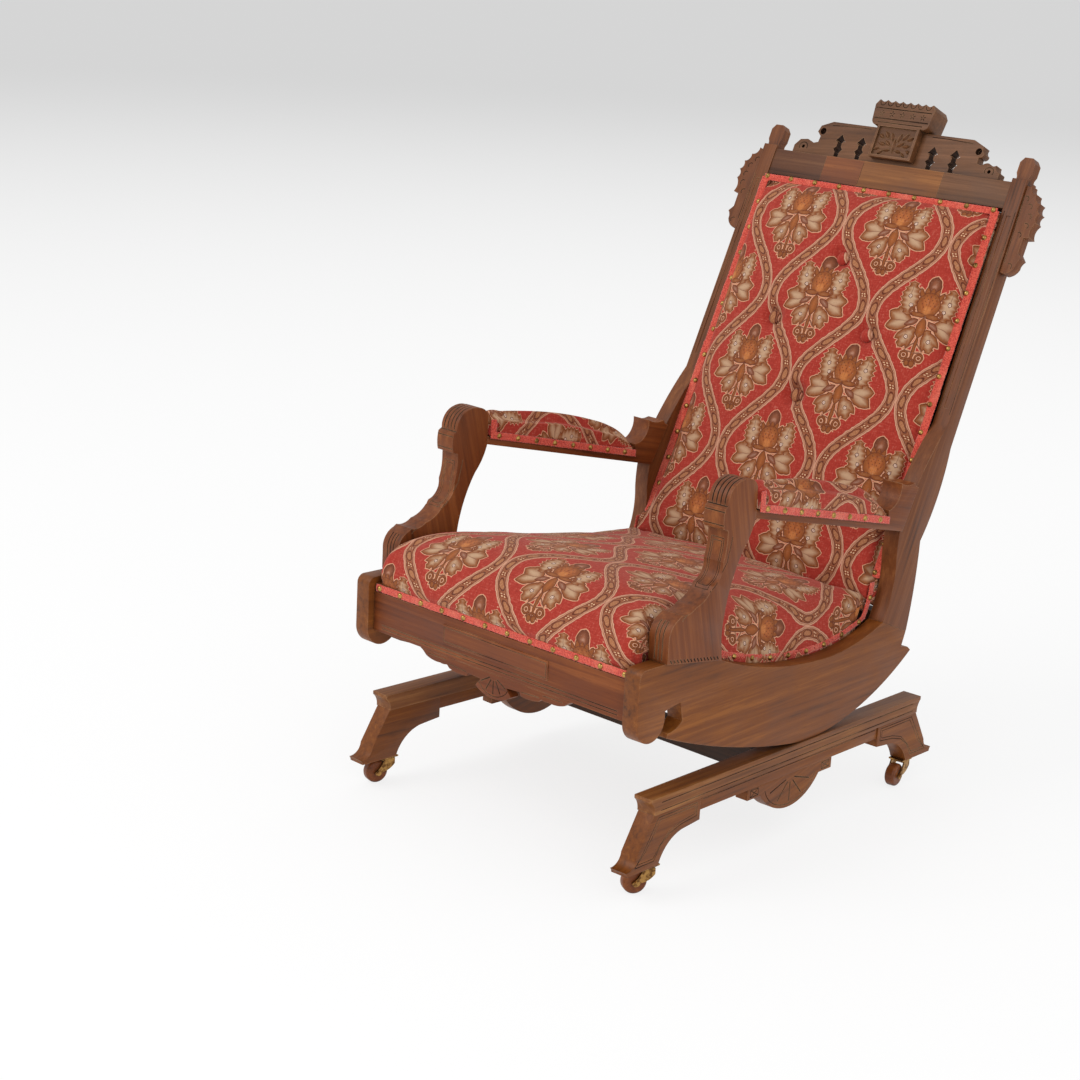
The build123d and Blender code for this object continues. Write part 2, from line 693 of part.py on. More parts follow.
def make_seat_cushion():
    front = side_front + rail_setback + 2
    sections = []
    stations = ((0.0, 0.7, 6), (0.05, 0.94, 14), (0.125, 1.02, 22), (0.25, 0.99, 28), (0.42, 0.87, 30),
                (0.6, 0.75, 30), (0.78, 0.58, 26), (0.92, 0.42, 18), (1.0, 0.375, 12))
    for share, fraction, crown in stations:
        height = seat_crown * fraction
        y = front + (seat_rear - front) * share
        half = inner_face(y) - pad_gap - gimp_thickness
        sections.append(seat_section(y, half, height, crown))
    body = loft(sections)
    rail = box(-side_spread, side_spread, front - 20, side_front + rail_setback + front_rail_thickness + pad_gap,
               webbing_level - 10, front_rail_high + gimp_width + 1)
    for x, y in spring_spots():
        body -= Pos(x, y, webbing_level + 38) * Cylinder(spring_pocket / 2, 70)
    post = box(-arm_width / 2 - pad_gap, 60, post_front - pad_gap, post_rear + pad_gap,
               seat_line_rear - 30, axis_z)
    return body - rail - on_left(post) - on_right(on_left(post))


def spring_spots():
    front = side_front + rail_setback + front_rail_thickness
    return [(x, front + 110 + 150 * row) for row in range(3) for x in (-144.0, 0.0, 144.0)]


def make_seat_springs():
    coil = helix(seat_spring_radius, seat_spring_wire, seat_spring_pitch, seat_spring_turns)
    low = webbing_level + webbing_thickness + 0.6 + seat_spring_wire / 2
    return [Pos(x, y, low) * coil for x, y in spring_spots()]


def back_section(up, half, crown):
    """Section across the back pad: flat behind, walls to the stile face, crowned front."""
    edges = [
        Line((-half, -back_pad_recess), (half, -back_pad_recess)),
        Line((half, -back_pad_recess), (half, 0)),
        ThreePointArc((half, 0), (half - 3.5, back_pad_edge * 0.75), (half - 10, back_pad_edge)),
        ThreePointArc((half - 10, back_pad_edge), (0, crown), (-half + 10, back_pad_edge)),
        ThreePointArc((-half + 10, back_pad_edge), (-half + 3.5, back_pad_edge * 0.75), (-half, 0)),
        Line((-half, 0), (-half, -back_pad_recess)),
    ]
    face = Face(Wire(edges))
    across = Plane(origin=(0, up, 0), x_dir=(1, 0, 0), z_dir=(0, -1, 0)).location
    return across * face


def make_back_cushion():
    sections = []
    stations = ((0.0, 0.35), (0.12, 0.8), (0.4, 1.0), (0.75, 0.9), (0.95, 0.45), (1.0, 0.24))
    high = top_rail_low - pad_gap
    for share, crown in stations:
        up = back_pad_low + (high - back_pad_low) * share
        sections.append(back_section(up, back_half_width(up) - pad_gap, crown * back_pad_crown))
    body = loft(sections)
    for x, up in button_places:
        body -= Pos(x, up, button_bed(up) + 24) * Sphere(30)
    rail_front = lower_rail_thickness + outside_panel + 0.1 - stile_depth
    bed = Box(2 * side_spread, 2 * lower_rail_height + 1, 100)
    bed = Pos(0, lower_rail_low, rail_front - 50 + 0.5) * bed
    return on_back(body - bed) - back_gimp(60.0)


def button_bed(up):
    return back_pad_crown - 10


def make_buttons():
    buttons = []
    for x, up in button_places:
        cap = Pos(0, 0, 0.5) * Sphere(button_diameter / 2)
        cap &= Pos(0, 0, 4) * Box(30, 30, 8)
        buttons.append(on_back(Pos(x, up, button_bed(up) - 4.2) * cap))
    return buttons


# ---- trimmings -----------------------------------------------------------------------------------
def nail(length=gimp_thickness):
    """A domed nail, head up, standing on Z = 0; one in padding is drawn down to the cloth."""
    radius = (nail_head ** 2 / 4 + nail_height ** 2) / (2 * nail_height)
    dome = Pos(0, 0, nail_height - radius) * Sphere(radius)
    dome &= Pos(0, 0, nail_height / 2) * Box(20, 20, nail_height)
    return dome + Pos(0, 0, -length / 2) * Cylinder(nail_shank / 2, length)


def arm_nail_spots():
    """Y of the nails along an arm, counted from the one on the rocking axis."""
    return [contact_y + arm_nail_pitch * i for i in range(-4, 4)]


def arm_nail(y, face):
    """face is 1 for the outer side of the arm and -1 for the inner side."""
    out = face * (arm_pad_side + gimp_thickness)
    z = axis_z - arm_slope * (y - contact_y)
    return Pos(out, y, z) * Rot(0, 90 * face, 0) * nail()


def make_arm_nails():
    nails = []
    for y in arm_nail_spots():
        for face in (-1, 1):
            if abs(y - contact_y) > 1:
                shape = on_left(arm_nail(y, face))
                nails += [shape, on_right(shape)]
    return nails


def make_axis_nails():
    """The four nails that lie on the rocking axis itself, square to the sides of the chair."""
    nails = []
    for face in (-1, 1):
        mark = on_left(Pos(face * (arm_pad_side + gimp_thickness), contact_y, axis_z) * Sphere(1)).center()
        shape = Pos(mark.X, contact_y, axis_z) * Rot(0, 90 * face, 0) * nail()
        nails += [shape, on_right(shape)]
    return nails


def make_seat_nails():
    """Along the front rail, on the braid."""
    y = side_front + rail_setback + rail_rabbet - 0.1 - gimp_thickness
    z = front_rail_high + gimp_width / 2
    half = inner_face(side_front) - 12
    count = 12
    step = 2 * half / (count - 1)
    return [Pos(-half + step * i, y, z) * Rot(90, 0, 0) * nail(nail_length) for i in range(count)]


def make_back_nails():
    nails = []
    face = back_braid + gimp_thickness
    high = top_rail_low - gimp_width / 2 - 2
    half = back_half_width(high) - gimp_width / 2 - 4
    for i in range(10):
        nails.append(on_back(Pos(-half + 2 * half / 9 * i, high, face) * nail()))
    for i in range(1, int((high - gimp_foot) / nail_pitch) + 1):
        up = high - nail_pitch * i
        x = back_half_width(up) - gimp_width / 2 - 4
        for side in (-1, 1):
            nails.append(on_back(Pos(side * x, up, face) * nail()))
    return nails


def side_line(lift):
    """The U-shaped line of the braid along the seat and up the stile, lift above the wood."""
    front = (post_rear + 6, seat_line_rear - 1 + lift)
    sag = (side_sag_y, side_sag_z + lift)
    bend = (stile_foot_y - 9 - 0.8 * lift, stile_foot_z + 0.5 * lift)
    rise = (stile_foot_y + 12 - lift, stile_foot_z + 62)
    return [front, sag + (-12,), bend + (-8,), rise + (-3,)]


def make_side_gimp():
    low = side_line(0.5)
    high = side_line(0.5 + gimp_width)
    back = [high[3][:2], high[2][:2] + (3,), high[1][:2] + (8,), high[0] + (12,)]
    strip = on_side(plate(outline(*low, *back), gimp_thickness), -half_frame - 0.1 - gimp_thickness / 2)
    return [strip, on_right(strip)]


def make_side_nails():
    line = side_line(0.5 + gimp_width / 2)
    nails = []
    path = []
    for here, there in zip(line, line[1:]):
        gap = math.dist(here[:2], there[:2])
        side = there[2] / gap
        middle = ((here[0] + there[0]) / 2 - (there[1] - here[1]) * side,
                  (here[1] + there[1]) / 2 + (there[0] - here[0]) * side)
        path.append(ThreePointArc(here[:2], middle, there[:2]))
    path = Wire(path)
    for i in range(int(path.length / nail_pitch)):
        spot = path.position_at((0.5 + i) * nail_pitch, position_mode=PositionMode.LENGTH)
        shape = on_left(Pos(-half_frame - 0.1, spot.X, spot.Y) * Rot(0, 90, 0) * nail())
        nails += [shape, on_right(shape)]
    return nails


def back_gimp(depth):
    """The braid over the top and down the sides of the back pad, that thick."""
    middle = back_braid + depth / 2
    high = top_rail_low - pad_gap - 1
    top_half = back_half_width(high) - pad_gap - 1
    top = on_back(Pos(0, high - gimp_width / 2, middle) * Box(2 * top_half, gimp_width, depth))
    low = high - gimp_width - 0.5
    foot = gimp_foot
    wide_low = back_half_width(foot) - pad_gap - 1
    wide_high = back_half_width(low) - pad_gap - 1
    side = outline((wide_high, low), (wide_high - gimp_width, low), (wide_low - gimp_width, foot),
                   (wide_low, foot))
    strip = on_back(plate(side, depth), middle)
    return [top, strip, on_right(strip)]


def arm_gimp(depth):
    """The braid along both sides of each arm pad and up its front end."""
    strips = []
    y0 = arm_front + pad_gap + 1
    y1 = arm_scroll_start - pad_gap - 1
    rise = axis_z - arm_slope * (y0 - contact_y)
    fall = axis_z - arm_slope * (y1 - contact_y)
    turn = rise - arm_slope * gimp_width
    run = outline((y0, rise - gimp_width / 2), (y1, fall - gimp_width / 2), (y1, fall + gimp_width / 2),
                  (y0 + gimp_width, turn + gimp_width / 2), (y0 + gimp_width, rise + 26), (y0, rise + 26))
    for way in (-1, 1):
        strip = on_side(plate(run, depth), way * (arm_pad_side + depth / 2))
        strips += [strip, on_right(strip)]
    return strips


def pierced(strip, pins):
    """The strip with a hole for every nail that stands on it."""
    reach = strip.bounding_box()
    near = [pin for pin in pins if reach.overlaps(pin.bounding_box())]
    return strip - near


def make_gimp():
    """Woven braid round the padding: front and sides of the seat, the back, and both arms."""
    y = side_front + rail_setback + rail_rabbet - 0.1
    half = inner_face(side_front) - 3
    front = box(-half, half, y - gimp_thickness, y, front_rail_high + 0.1, front_rail_high + gimp_width)
    return [front] + make_side_gimp() + back_gimp(gimp_thickness) + arm_gimp(gimp_thickness)


# ---- centring springs ----------------------------------------------------------------------------
spring_foot = platform_height - 30.0


def spring_ys():
    return (contact_y - spring_place, contact_y + spring_place)


def make_base_brackets():
    """Iron plates on the inner faces of the platform, each with two cups for the springs."""
    brackets = []
    inset = -spring_inset
    plate_face = -cap_width / 2
    mid = contact_y
    body = box(plate_face - bracket_plate, plate_face, mid - 75, mid + 75, cap_low, platform_height - 2)
    floor = spring_foot - spring_wire / 2 - 0.6
    body += box(inset - 26, plate_face - bracket_plate, mid - 75, mid + 75, floor - bracket_plate, floor)
    for y in spring_ys():
        cup = Pos(inset, y, floor + cup_depth / 2) * Cylinder(cup_bore / 2 + cup_wall, cup_depth)
        bore = Pos(inset, y, floor + cup_depth / 2) * Cylinder(cup_bore / 2, cup_depth)
        body += cup
        body -= bore
    clear = box(plate_face - bracket_plate, plate_face + 30, mid - 90, mid + 90, 0, axis_z)
    plate_back = box(plate_face - bracket_plate, plate_face, mid - 75, mid + 75, floor - bracket_plate,
                     platform_height - 2)
    body = body - clear + plate_back
    shape = on_left(body)
    brackets += [shape, on_right(shape)]
    return brackets


def spring_head():
    return spring_foot + spring_turns * spring_pitch + spring_wire / 2


def make_rocker_brackets():
    """Iron angles screwed to the inner faces of the rockers, over the springs."""
    head = spring_head() + 0.3
    inner = -half_frame
    body = box(inner - bracket_plate, inner, contact_y - 75, contact_y + 75, head, head + 45)
    body += box(-spring_inset - 22, inner - bracket_plate, contact_y - 75, contact_y + 75, head,
                head + bracket_plate)
    shape = on_left(body)
    return [shape, on_right(shape)]


def make_centring_springs():
    coil = helix(spring_radius, spring_wire, spring_pitch, spring_turns)
    springs = []
    for y in spring_ys():
        shape = on_left(Pos(-spring_inset, y, spring_foot) * coil)
        springs += [shape, on_right(shape)]
    return springs


# ---- assembly ------------------------------------------------------------------------------------
seat_nails = make_seat_nails()
nails = seat_nails + make_side_nails() + make_back_nails() + make_arm_nails()
axis_nails = make_axis_nails()
screws = make_base_screws()

both_sides("base_cap", make_cap() - screws)
both_sides("base_rail", make_rail() - screws)
both_sides("base_foot_front", make_foot(-1))
both_sides("base_foot_rear", make_foot(1))
both_sides("base_pendant", make_pendant())
parts["base_stretcher_front"] = make_stretcher(-stretcher_place)
parts["base_stretcher_rear"] = make_stretcher(stretcher_place + 2 * contact_y)
parts["caster_sockets"] = make_casters()
parts["base_screws"] = screws
parts["base_spring_brackets"] = make_base_brackets()

both_sides("side_board", make_side_board())
both_sides("back_stile", make_stile())
both_sides("arm_post", make_arm_post())
both_sides("arm_rail", make_arm_rail())
both_sides("arm_pad", make_arm_pad())
both_sides("back_ear", make_ear())
both_sides("back_finial", make_finial())
parts["back_top_rail"] = make_top_rail()
parts["back_lower_rail"] = make_lower_back_rail()
parts["back_outside_panel"] = make_outside_back()
parts["crest_board"] = make_crest_board()
parts["crest_block"] = make_crest_block()
parts["seat_front_rail"] = make_front_rail() - seat_nails
parts["seat_apron"] = make_apron()
parts["seat_rear_rail"] = make_rear_rail()
parts["seat_webbing"] = make_webbing()
parts["seat_springs"] = make_seat_springs()
parts["seat_cushion"] = make_seat_cushion()
parts["back_cushion"] = make_back_cushion()
parts["back_buttons"] = make_buttons()
parts["gimp_braid"] = [pierced(strip, nails + axis_nails) for strip in make_gimp()]
parts["brass_nails"] = nails
parts["arm_axis_nails"] = axis_nails
parts["rocker_spring_brackets"] = make_rocker_brackets()
parts["centring_springs"] = make_centring_springs()

# The origin is the middle of the bounding box, on the floor.
whole = {name: Compound(shape) if isinstance(shape, list) else shape for name, shape in parts.items()}
reach = Compound(children=[Compound(s.solids()) for s in whole.values()]).bounding_box()
origin = ((reach.min.X + reach.max.X) / 2, (reach.min.Y + reach.max.Y) / 2, reach.min.Z)
for name, shape in whole.items():
    export_step(Pos(-origin[0], -origin[1], -origin[2]) * shape, "parts/" + name + ".step")
print("nodes", len(whole), "moved by", [round(-value, 4) for value in origin])
print("size", [round(v, 2) for v in (reach.size.X, reach.size.Y, reach.size.Z)])
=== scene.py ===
"""The looks of the platform rocker: walnut, damask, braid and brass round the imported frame."""

import math

import bmesh
import bpy
import numpy as np
from mathutils import Matrix, Vector, noise
from mathutils.bvhtree import BVHTree


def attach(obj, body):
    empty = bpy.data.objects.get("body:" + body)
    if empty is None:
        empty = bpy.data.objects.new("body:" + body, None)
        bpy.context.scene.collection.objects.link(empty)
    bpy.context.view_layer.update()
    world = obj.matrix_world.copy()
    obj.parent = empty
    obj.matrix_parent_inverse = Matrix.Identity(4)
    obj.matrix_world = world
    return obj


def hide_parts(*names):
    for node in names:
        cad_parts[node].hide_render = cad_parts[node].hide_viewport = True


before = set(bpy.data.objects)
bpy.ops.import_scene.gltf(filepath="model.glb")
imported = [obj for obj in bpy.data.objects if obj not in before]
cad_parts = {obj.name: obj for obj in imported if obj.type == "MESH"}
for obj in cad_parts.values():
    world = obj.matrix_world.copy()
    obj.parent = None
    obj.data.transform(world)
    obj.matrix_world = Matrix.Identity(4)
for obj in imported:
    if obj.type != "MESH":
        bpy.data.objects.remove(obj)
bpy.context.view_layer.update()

# ---- measures, in millimetres, in the drawing that the frame was built from ----------------------
DRAWING_SHIFT = -102.8093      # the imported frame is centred, and stands this far along Y
SIDE_SPREAD = 286.0
TOE_IN = math.radians(1.7)
HALF_FRAME = 15.0
LEAN = math.radians(23.7)
BACK_FOOT = (295.0, 471.0)     # Y and Z where the back's own measures start
WALNUT_GAP = 2.2               # between the padding and the wood
BRAID_WIDTH, BRAID_SPREAD = 14.6, 18.9      # gap and braid at the stile, in the frame and as shown
BRAID_FOOT, BRAID_TOP = -101.0, 562.0       # how far down and up the back it is spread
ARM_FRONT, ARM_REAR = -159.8, 205.8
BUTTONS = [(0, 428), (-101, 302), (101, 302), (0, 174)]
BUTTON_BED, BUTTON_RADIUS, BUTTON_BEND = 40.0, 12.2, 1.12
OGEE_WIDTH, OGEE_HEIGHT = 219.0, 290.0      # one repeat of the woven pattern
RIBBON_HALF, CELL_HALF = 11.5, 21.56        # half the ribbon's width, half the pace of its ovals

UP = Vector((0, math.sin(LEAN), math.cos(LEAN)))
INTO_BACK = Vector((0, math.cos(LEAN), -math.sin(LEAN)))
INTO_FRONT = Vector((0, 1, 0))


def hung(x, y, z):
    """A point of the drawing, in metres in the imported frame."""
    return Vector((x, y + DRAWING_SHIFT, z)) / 1000


def inner_face(y):
    """How far out the inner face of a side frame is at a place along Y."""
    return SIDE_SPREAD - HALF_FRAME / math.cos(TOE_IN) - y * math.tan(TOE_IN)


def on_back(x, up, forward):
    """A point given across, up the leaning back and forward of it."""
    y = BACK_FOOT[0] + up * math.sin(LEAN) - forward * math.cos(LEAN)
    z = BACK_FOOT[1] + up * math.cos(LEAN) + forward * math.sin(LEAN)
    return hung(x, y, z)


def on_side(way):
    """Carries (outward, Y, Z) into the plane of the side frame, way +1 for the left and -1 for the right."""
    def carry(out, y, z):
        x = SIDE_SPREAD + out * math.cos(TOE_IN) - y * math.sin(TOE_IN)
        return hung(way * x, out * math.sin(TOE_IN) + y * math.cos(TOE_IN), z)
    return carry


def measured_on_back(co):
    """How far up the back and forward of it each point lies, in millimetres."""
    out = co - np.array(on_back(0, 0, 0))
    return (out @ np.array((0, math.sin(LEAN), math.cos(LEAN))) * 1000,
            out @ np.array((0, -math.cos(LEAN), math.sin(LEAN))) * 1000)


def curve_through(knots, places):
    """Smooth values at places through (place, value) knots."""
    t = np.array([k[0] for k in knots], float)
    q = np.array([k[1] for k in knots], float)
    slope = np.gradient(q, t)
    places = np.clip(np.asarray(places, float), t[0], t[-1])
    i = np.clip(np.searchsorted(t, places) - 1, 0, len(t) - 2)
    gap = t[i + 1] - t[i]
    s = (places - t[i]) / gap
    low = (2 * s ** 3 - 3 * s ** 2 + 1) * q[i] + (s ** 3 - 2 * s ** 2 + s) * gap * slope[i]
    return low + (3 * s ** 2 - 2 * s ** 3) * q[i + 1] + (s ** 3 - s ** 2) * gap * slope[i + 1]


def varying(*knots):
    """A smooth measure along a pad, given as (share of its length, value)."""
    return lambda share: float(curve_through(knots, share))


def add_object(name, mesh):
    made = bpy.data.objects.new(name, mesh)
    bpy.context.scene.collection.objects.link(made)
    return made


# ---- materials: helpers --------------------------------------------------------------------------
def srgb(code):
    """An sRGB hex colour as linear red, green, blue and full alpha."""
    parts = [int(code[i:i + 2], 16) / 255 for i in (1, 3, 5)]
    return tuple(p / 12.92 if p <= 0.04045 else ((p + 0.055) / 1.055) ** 2.4 for p in parts) + (1.0,)


def add(tree, kind, inputs=(), **settings):
    """Adds one node with its settings; inputs are by place or by name, each a link or a value."""
    node = tree.nodes.new("ShaderNode" + kind)
    for name, value in settings.items():
        setattr(node, name, value)
    for key, value in (inputs.items() if isinstance(inputs, dict) else enumerate(inputs)):
        value = value.socket if isinstance(value, Field) else value
        if isinstance(value, bpy.types.NodeSocket):
            tree.links.new(value, node.inputs[key])
        elif value is not None:
            node.inputs[key].default_value = value
    return node


class Field:
    """A number that varies over a surface; arithmetic on it is drawn as Math nodes."""

    def __init__(self, socket):
        self.socket = socket
        self.tree = socket.id_data

    def by(self, operation, *others):
        return Field(add(self.tree, "Math", (self, *others), operation=operation).outputs[0])

    def __add__(self, other):
        return self.by("ADD", other)

    def __sub__(self, other):
        return self.by("SUBTRACT", other)

    def __rsub__(self, other):
        return (self * -1.0) + other

    def __mul__(self, other):
        return self.by("MULTIPLY", other)

    __radd__ = __add__
    __rmul__ = __mul__

    def step(self, low, high):
        """0 below low and 1 above high, with a soft change between; falls where low is over high."""
        ends = (low, high, 0.0, 1.0) if low < high else (high, low, 1.0, 0.0)
        ramp = add(self.tree, "MapRange", (self, *ends), interpolation_type="SMOOTHSTEP")
        return Field(ramp.outputs[0])

    def dye(self, under, over):
        """The colour over where this field is 1, and under where it is 0."""
        mix = add(self.tree, "Mix", {0: self}, data_type="RGBA")
        for socket, colour in ((mix.inputs[6], under), (mix.inputs[7], over)):
            if isinstance(colour, str):
                socket.default_value = srgb(colour)
            else:
                self.tree.links.new(colour, socket)
        return mix.outputs[2]


def material(name):
    """A new material with an empty Principled surface; gives the material, its tree and its shader."""
    made = bpy.data.materials.new(name)
    made.use_nodes = True
    tree = made.node_tree
    tree.nodes.clear()
    shader = add(tree, "BsdfPrincipled")
    add(tree, "OutputMaterial", (shader.outputs[0],))
    return made, tree, shader


def place_on(tree, along):
    """Object coordinates turned so that X runs the way given."""
    along = Vector(along).normalized()
    side = along.orthogonal().normalized()
    turn = Matrix((along, side, along.cross(side))).to_euler()
    here = add(tree, "TexCoord").outputs["Object"]
    return add(tree, "Mapping", {"Vector": here, "Rotation": tuple(turn)}).outputs[0]


def mottle(tree, where, stretch, detail=4.0, rough=0.55, warp=0.0):
    """Noise over where, with that many marks a metre each way."""
    scaled = add(tree, "VectorMath", (where, stretch), operation="MULTIPLY").outputs[0]
    spots = add(tree, "TexNoise", {"Vector": scaled, "Scale": 1.0, "Detail": detail, "Roughness": rough,
                                   "Distortion": warp})
    return Field(spots.outputs[0])


def finish(tree, shader, colour, height, strength=0.3, distance=0.001, **sockets):
    """Links colour and bump to the shader and sets its plain sockets."""
    tree.links.new(colour, shader.inputs["Base Color"])
    if height is not None:
        bump = add(tree, "Bump", {"Height": height, "Strength": strength, "Distance": distance})
        tree.links.new(bump.outputs[0], shader.inputs["Normal"])
    for name, value in sockets.items():
        name = name.replace("_", " ")
        if isinstance(value, Field):
            tree.links.new(value.socket, shader.inputs[name])
        else:
            shader.inputs[name].default_value = value


# ---- materials: walnut ---------------------------------------------------------------------------
def walnut(name, along, dark, mid, light, rough=0.5, coat=0.08):
    """American black walnut, planed, oiled and thinly varnished, a century old: brown streaks that run
    with the board, short dark pores, a worn paler arris and painted shade darkening the corners."""
    made, tree, shader = material(name)
    board = place_on(tree, along)
    # growth rings show as streaks about 10 mm wide that run on for a third of a metre
    streak = mottle(tree, board, (2.2, 105.0, 105.0), 7.0, 0.68, 0.25)
    # cathedral figure, a palm wide
    figure = mottle(tree, board, (1.6, 16.0, 16.0), 4.0, 0.6, 0.4)
    # pores about 1.5 mm wide and 25 mm long, twice the real width so that they show
    pores = mottle(tree, board, (30.0, 620.0, 620.0), 3.0, 0.7)
    # patches where the old varnish has gone dull
    patch = mottle(tree, board, (7.0, 10.0, 10.0), 5.0, 0.62)
    tone = streak * 0.5 + figure * 0.28 + patch * 0.22
    colour = tone.step(0.34, 0.5).dye(dark, mid)
    colour = tone.step(0.48, 0.66).dye(colour, light)
    colour = (pores.step(0.6, 0.72) * 0.55).dye(colour, dark)
    # painted shade: where ambient occlusion finds a corner or recess, the colour is darkened towards near-black
    # brown
    grime_and_shade = Field(add(tree, "AmbientOcclusion", {"Distance": 0.012}, samples=6).outputs["AO"])
    colour = (grime_and_shade.step(0.75, 0.25) * 0.55).dye(colour, "#24140c")
    arris = edge_wear(tree)
    colour = (arris * patch.step(0.4, 0.6) * 0.5).dye(colour, "#b08a66")
    finish(tree, shader, colour, pores * -0.5 + streak * 0.5, 0.25, 0.0008,
           Roughness=patch.step(0.3, 0.7) * 0.16 + (rough - 0.06), Coat_Weight=coat, Coat_Roughness=0.28,
           Specular_IOR_Level=0.28)
    return made


def edge_wear(tree, radius=0.0022):
    """1 on the arrises, where hands and dusters have rubbed the finish, and 0 on the flats."""
    rounded = add(tree, "Bevel", {"Radius": radius}, samples=6).outputs[0]
    flat = add(tree, "NewGeometry").outputs["Normal"]
    turned = Field(add(tree, "VectorMath", (rounded, flat), operation="DOT_PRODUCT").outputs["Value"])
    return turned.step(0.985, 0.9)


WALNUT_TONES = {
    # near-black brown, warm brown and the paler streaks; the posts were cut from a redder board
    "side": ("#4b270d", "#763f12", "#95581f"),
    "post": ("#45210b", "#723a16", "#905224"),
    "stile": ("#43230d", "#6f3c1a", "#8c552c"),
    "rail": ("#421d0a", "#6d3412", "#8f4d1e"),
    "cap": ("#4e2d16", "#7b4820", "#a5703c"),
    # the parts underneath and inside: a far darker walnut than the rest, painted shade
    "under": ("#20120a", "#3b2313", "#53331e"),
    "crest": ("#3f2413", "#664024", "#825637"),
    # the sheets of veneer on the top rail and on the front rail
    "dark": ("#3a1f10", "#5d3721", "#754c30"),
    "orange": ("#4f2713", "#753f20", "#93562c"),
    "yellow": ("#50290f", "#7c4a22", "#9f6633"),
    "panel": ("#4a2210", "#753c1c", "#965629"),
}


def walnut_of(tone, along, name, **more):
    """Walnut of one of the tones above."""
    dark, mid, light = WALNUT_TONES[tone]
    return walnut(name, along, dark, mid, light, **more)


# ---- materials: the cover ------------------------------------------------------------------------
def leaf(m, n, centre, along, half_length, half_width, teeth=0.0):
    """Distance to a pointed leaf, below 0 inside; m and n are the cloth's millimetres, and its edge has
    teeth of that depth, 9 mm apart."""
    length = math.hypot(*along)
    ax, ay = along[0] / length, along[1] / length
    far = m * ax + n * ay - (centre[0] * ax + centre[1] * ay)
    off = m * ay - n * ax - (centre[0] * ay - centre[1] * ax)
    radius = (half_length ** 2 + half_width ** 2) / (2 * half_width)
    off = off.by("ABSOLUTE") + (radius - half_width)
    edge = (off * off + far * far).by("SQRT") - radius
    if teeth:
        edge = edge + (far * (math.pi / 9)).by("SINE").by("ABSOLUTE") * teeth - teeth * 0.6
    return edge


def disc(m, n, centre, half_across, half_up):
    """Distance to an oval, below 0 inside."""
    a = (m - centre[0]) * (1 / half_across)
    b = (n - centre[1]) * (1 / half_up)
    return ((a * a + b * b).by("SQRT") - 1.0) * min(half_across, half_up)


def ring(m, n, centre, radius, half_stroke):
    """Distance to a round stroke, below 0 inside."""
    a, b = m - centre[0], n - centre[1]
    return ((a * a + b * b).by("SQRT") - radius).by("ABSOLUTE") - half_stroke


CREAM, RIM, LEAF_GREY = "#d69c79", "#8b4c22", "#bf9a7a"
DARK_LINE, TAN, ORANGE, BUD = "#602a19", "#a0653f", "#ad6232", "#94583c"


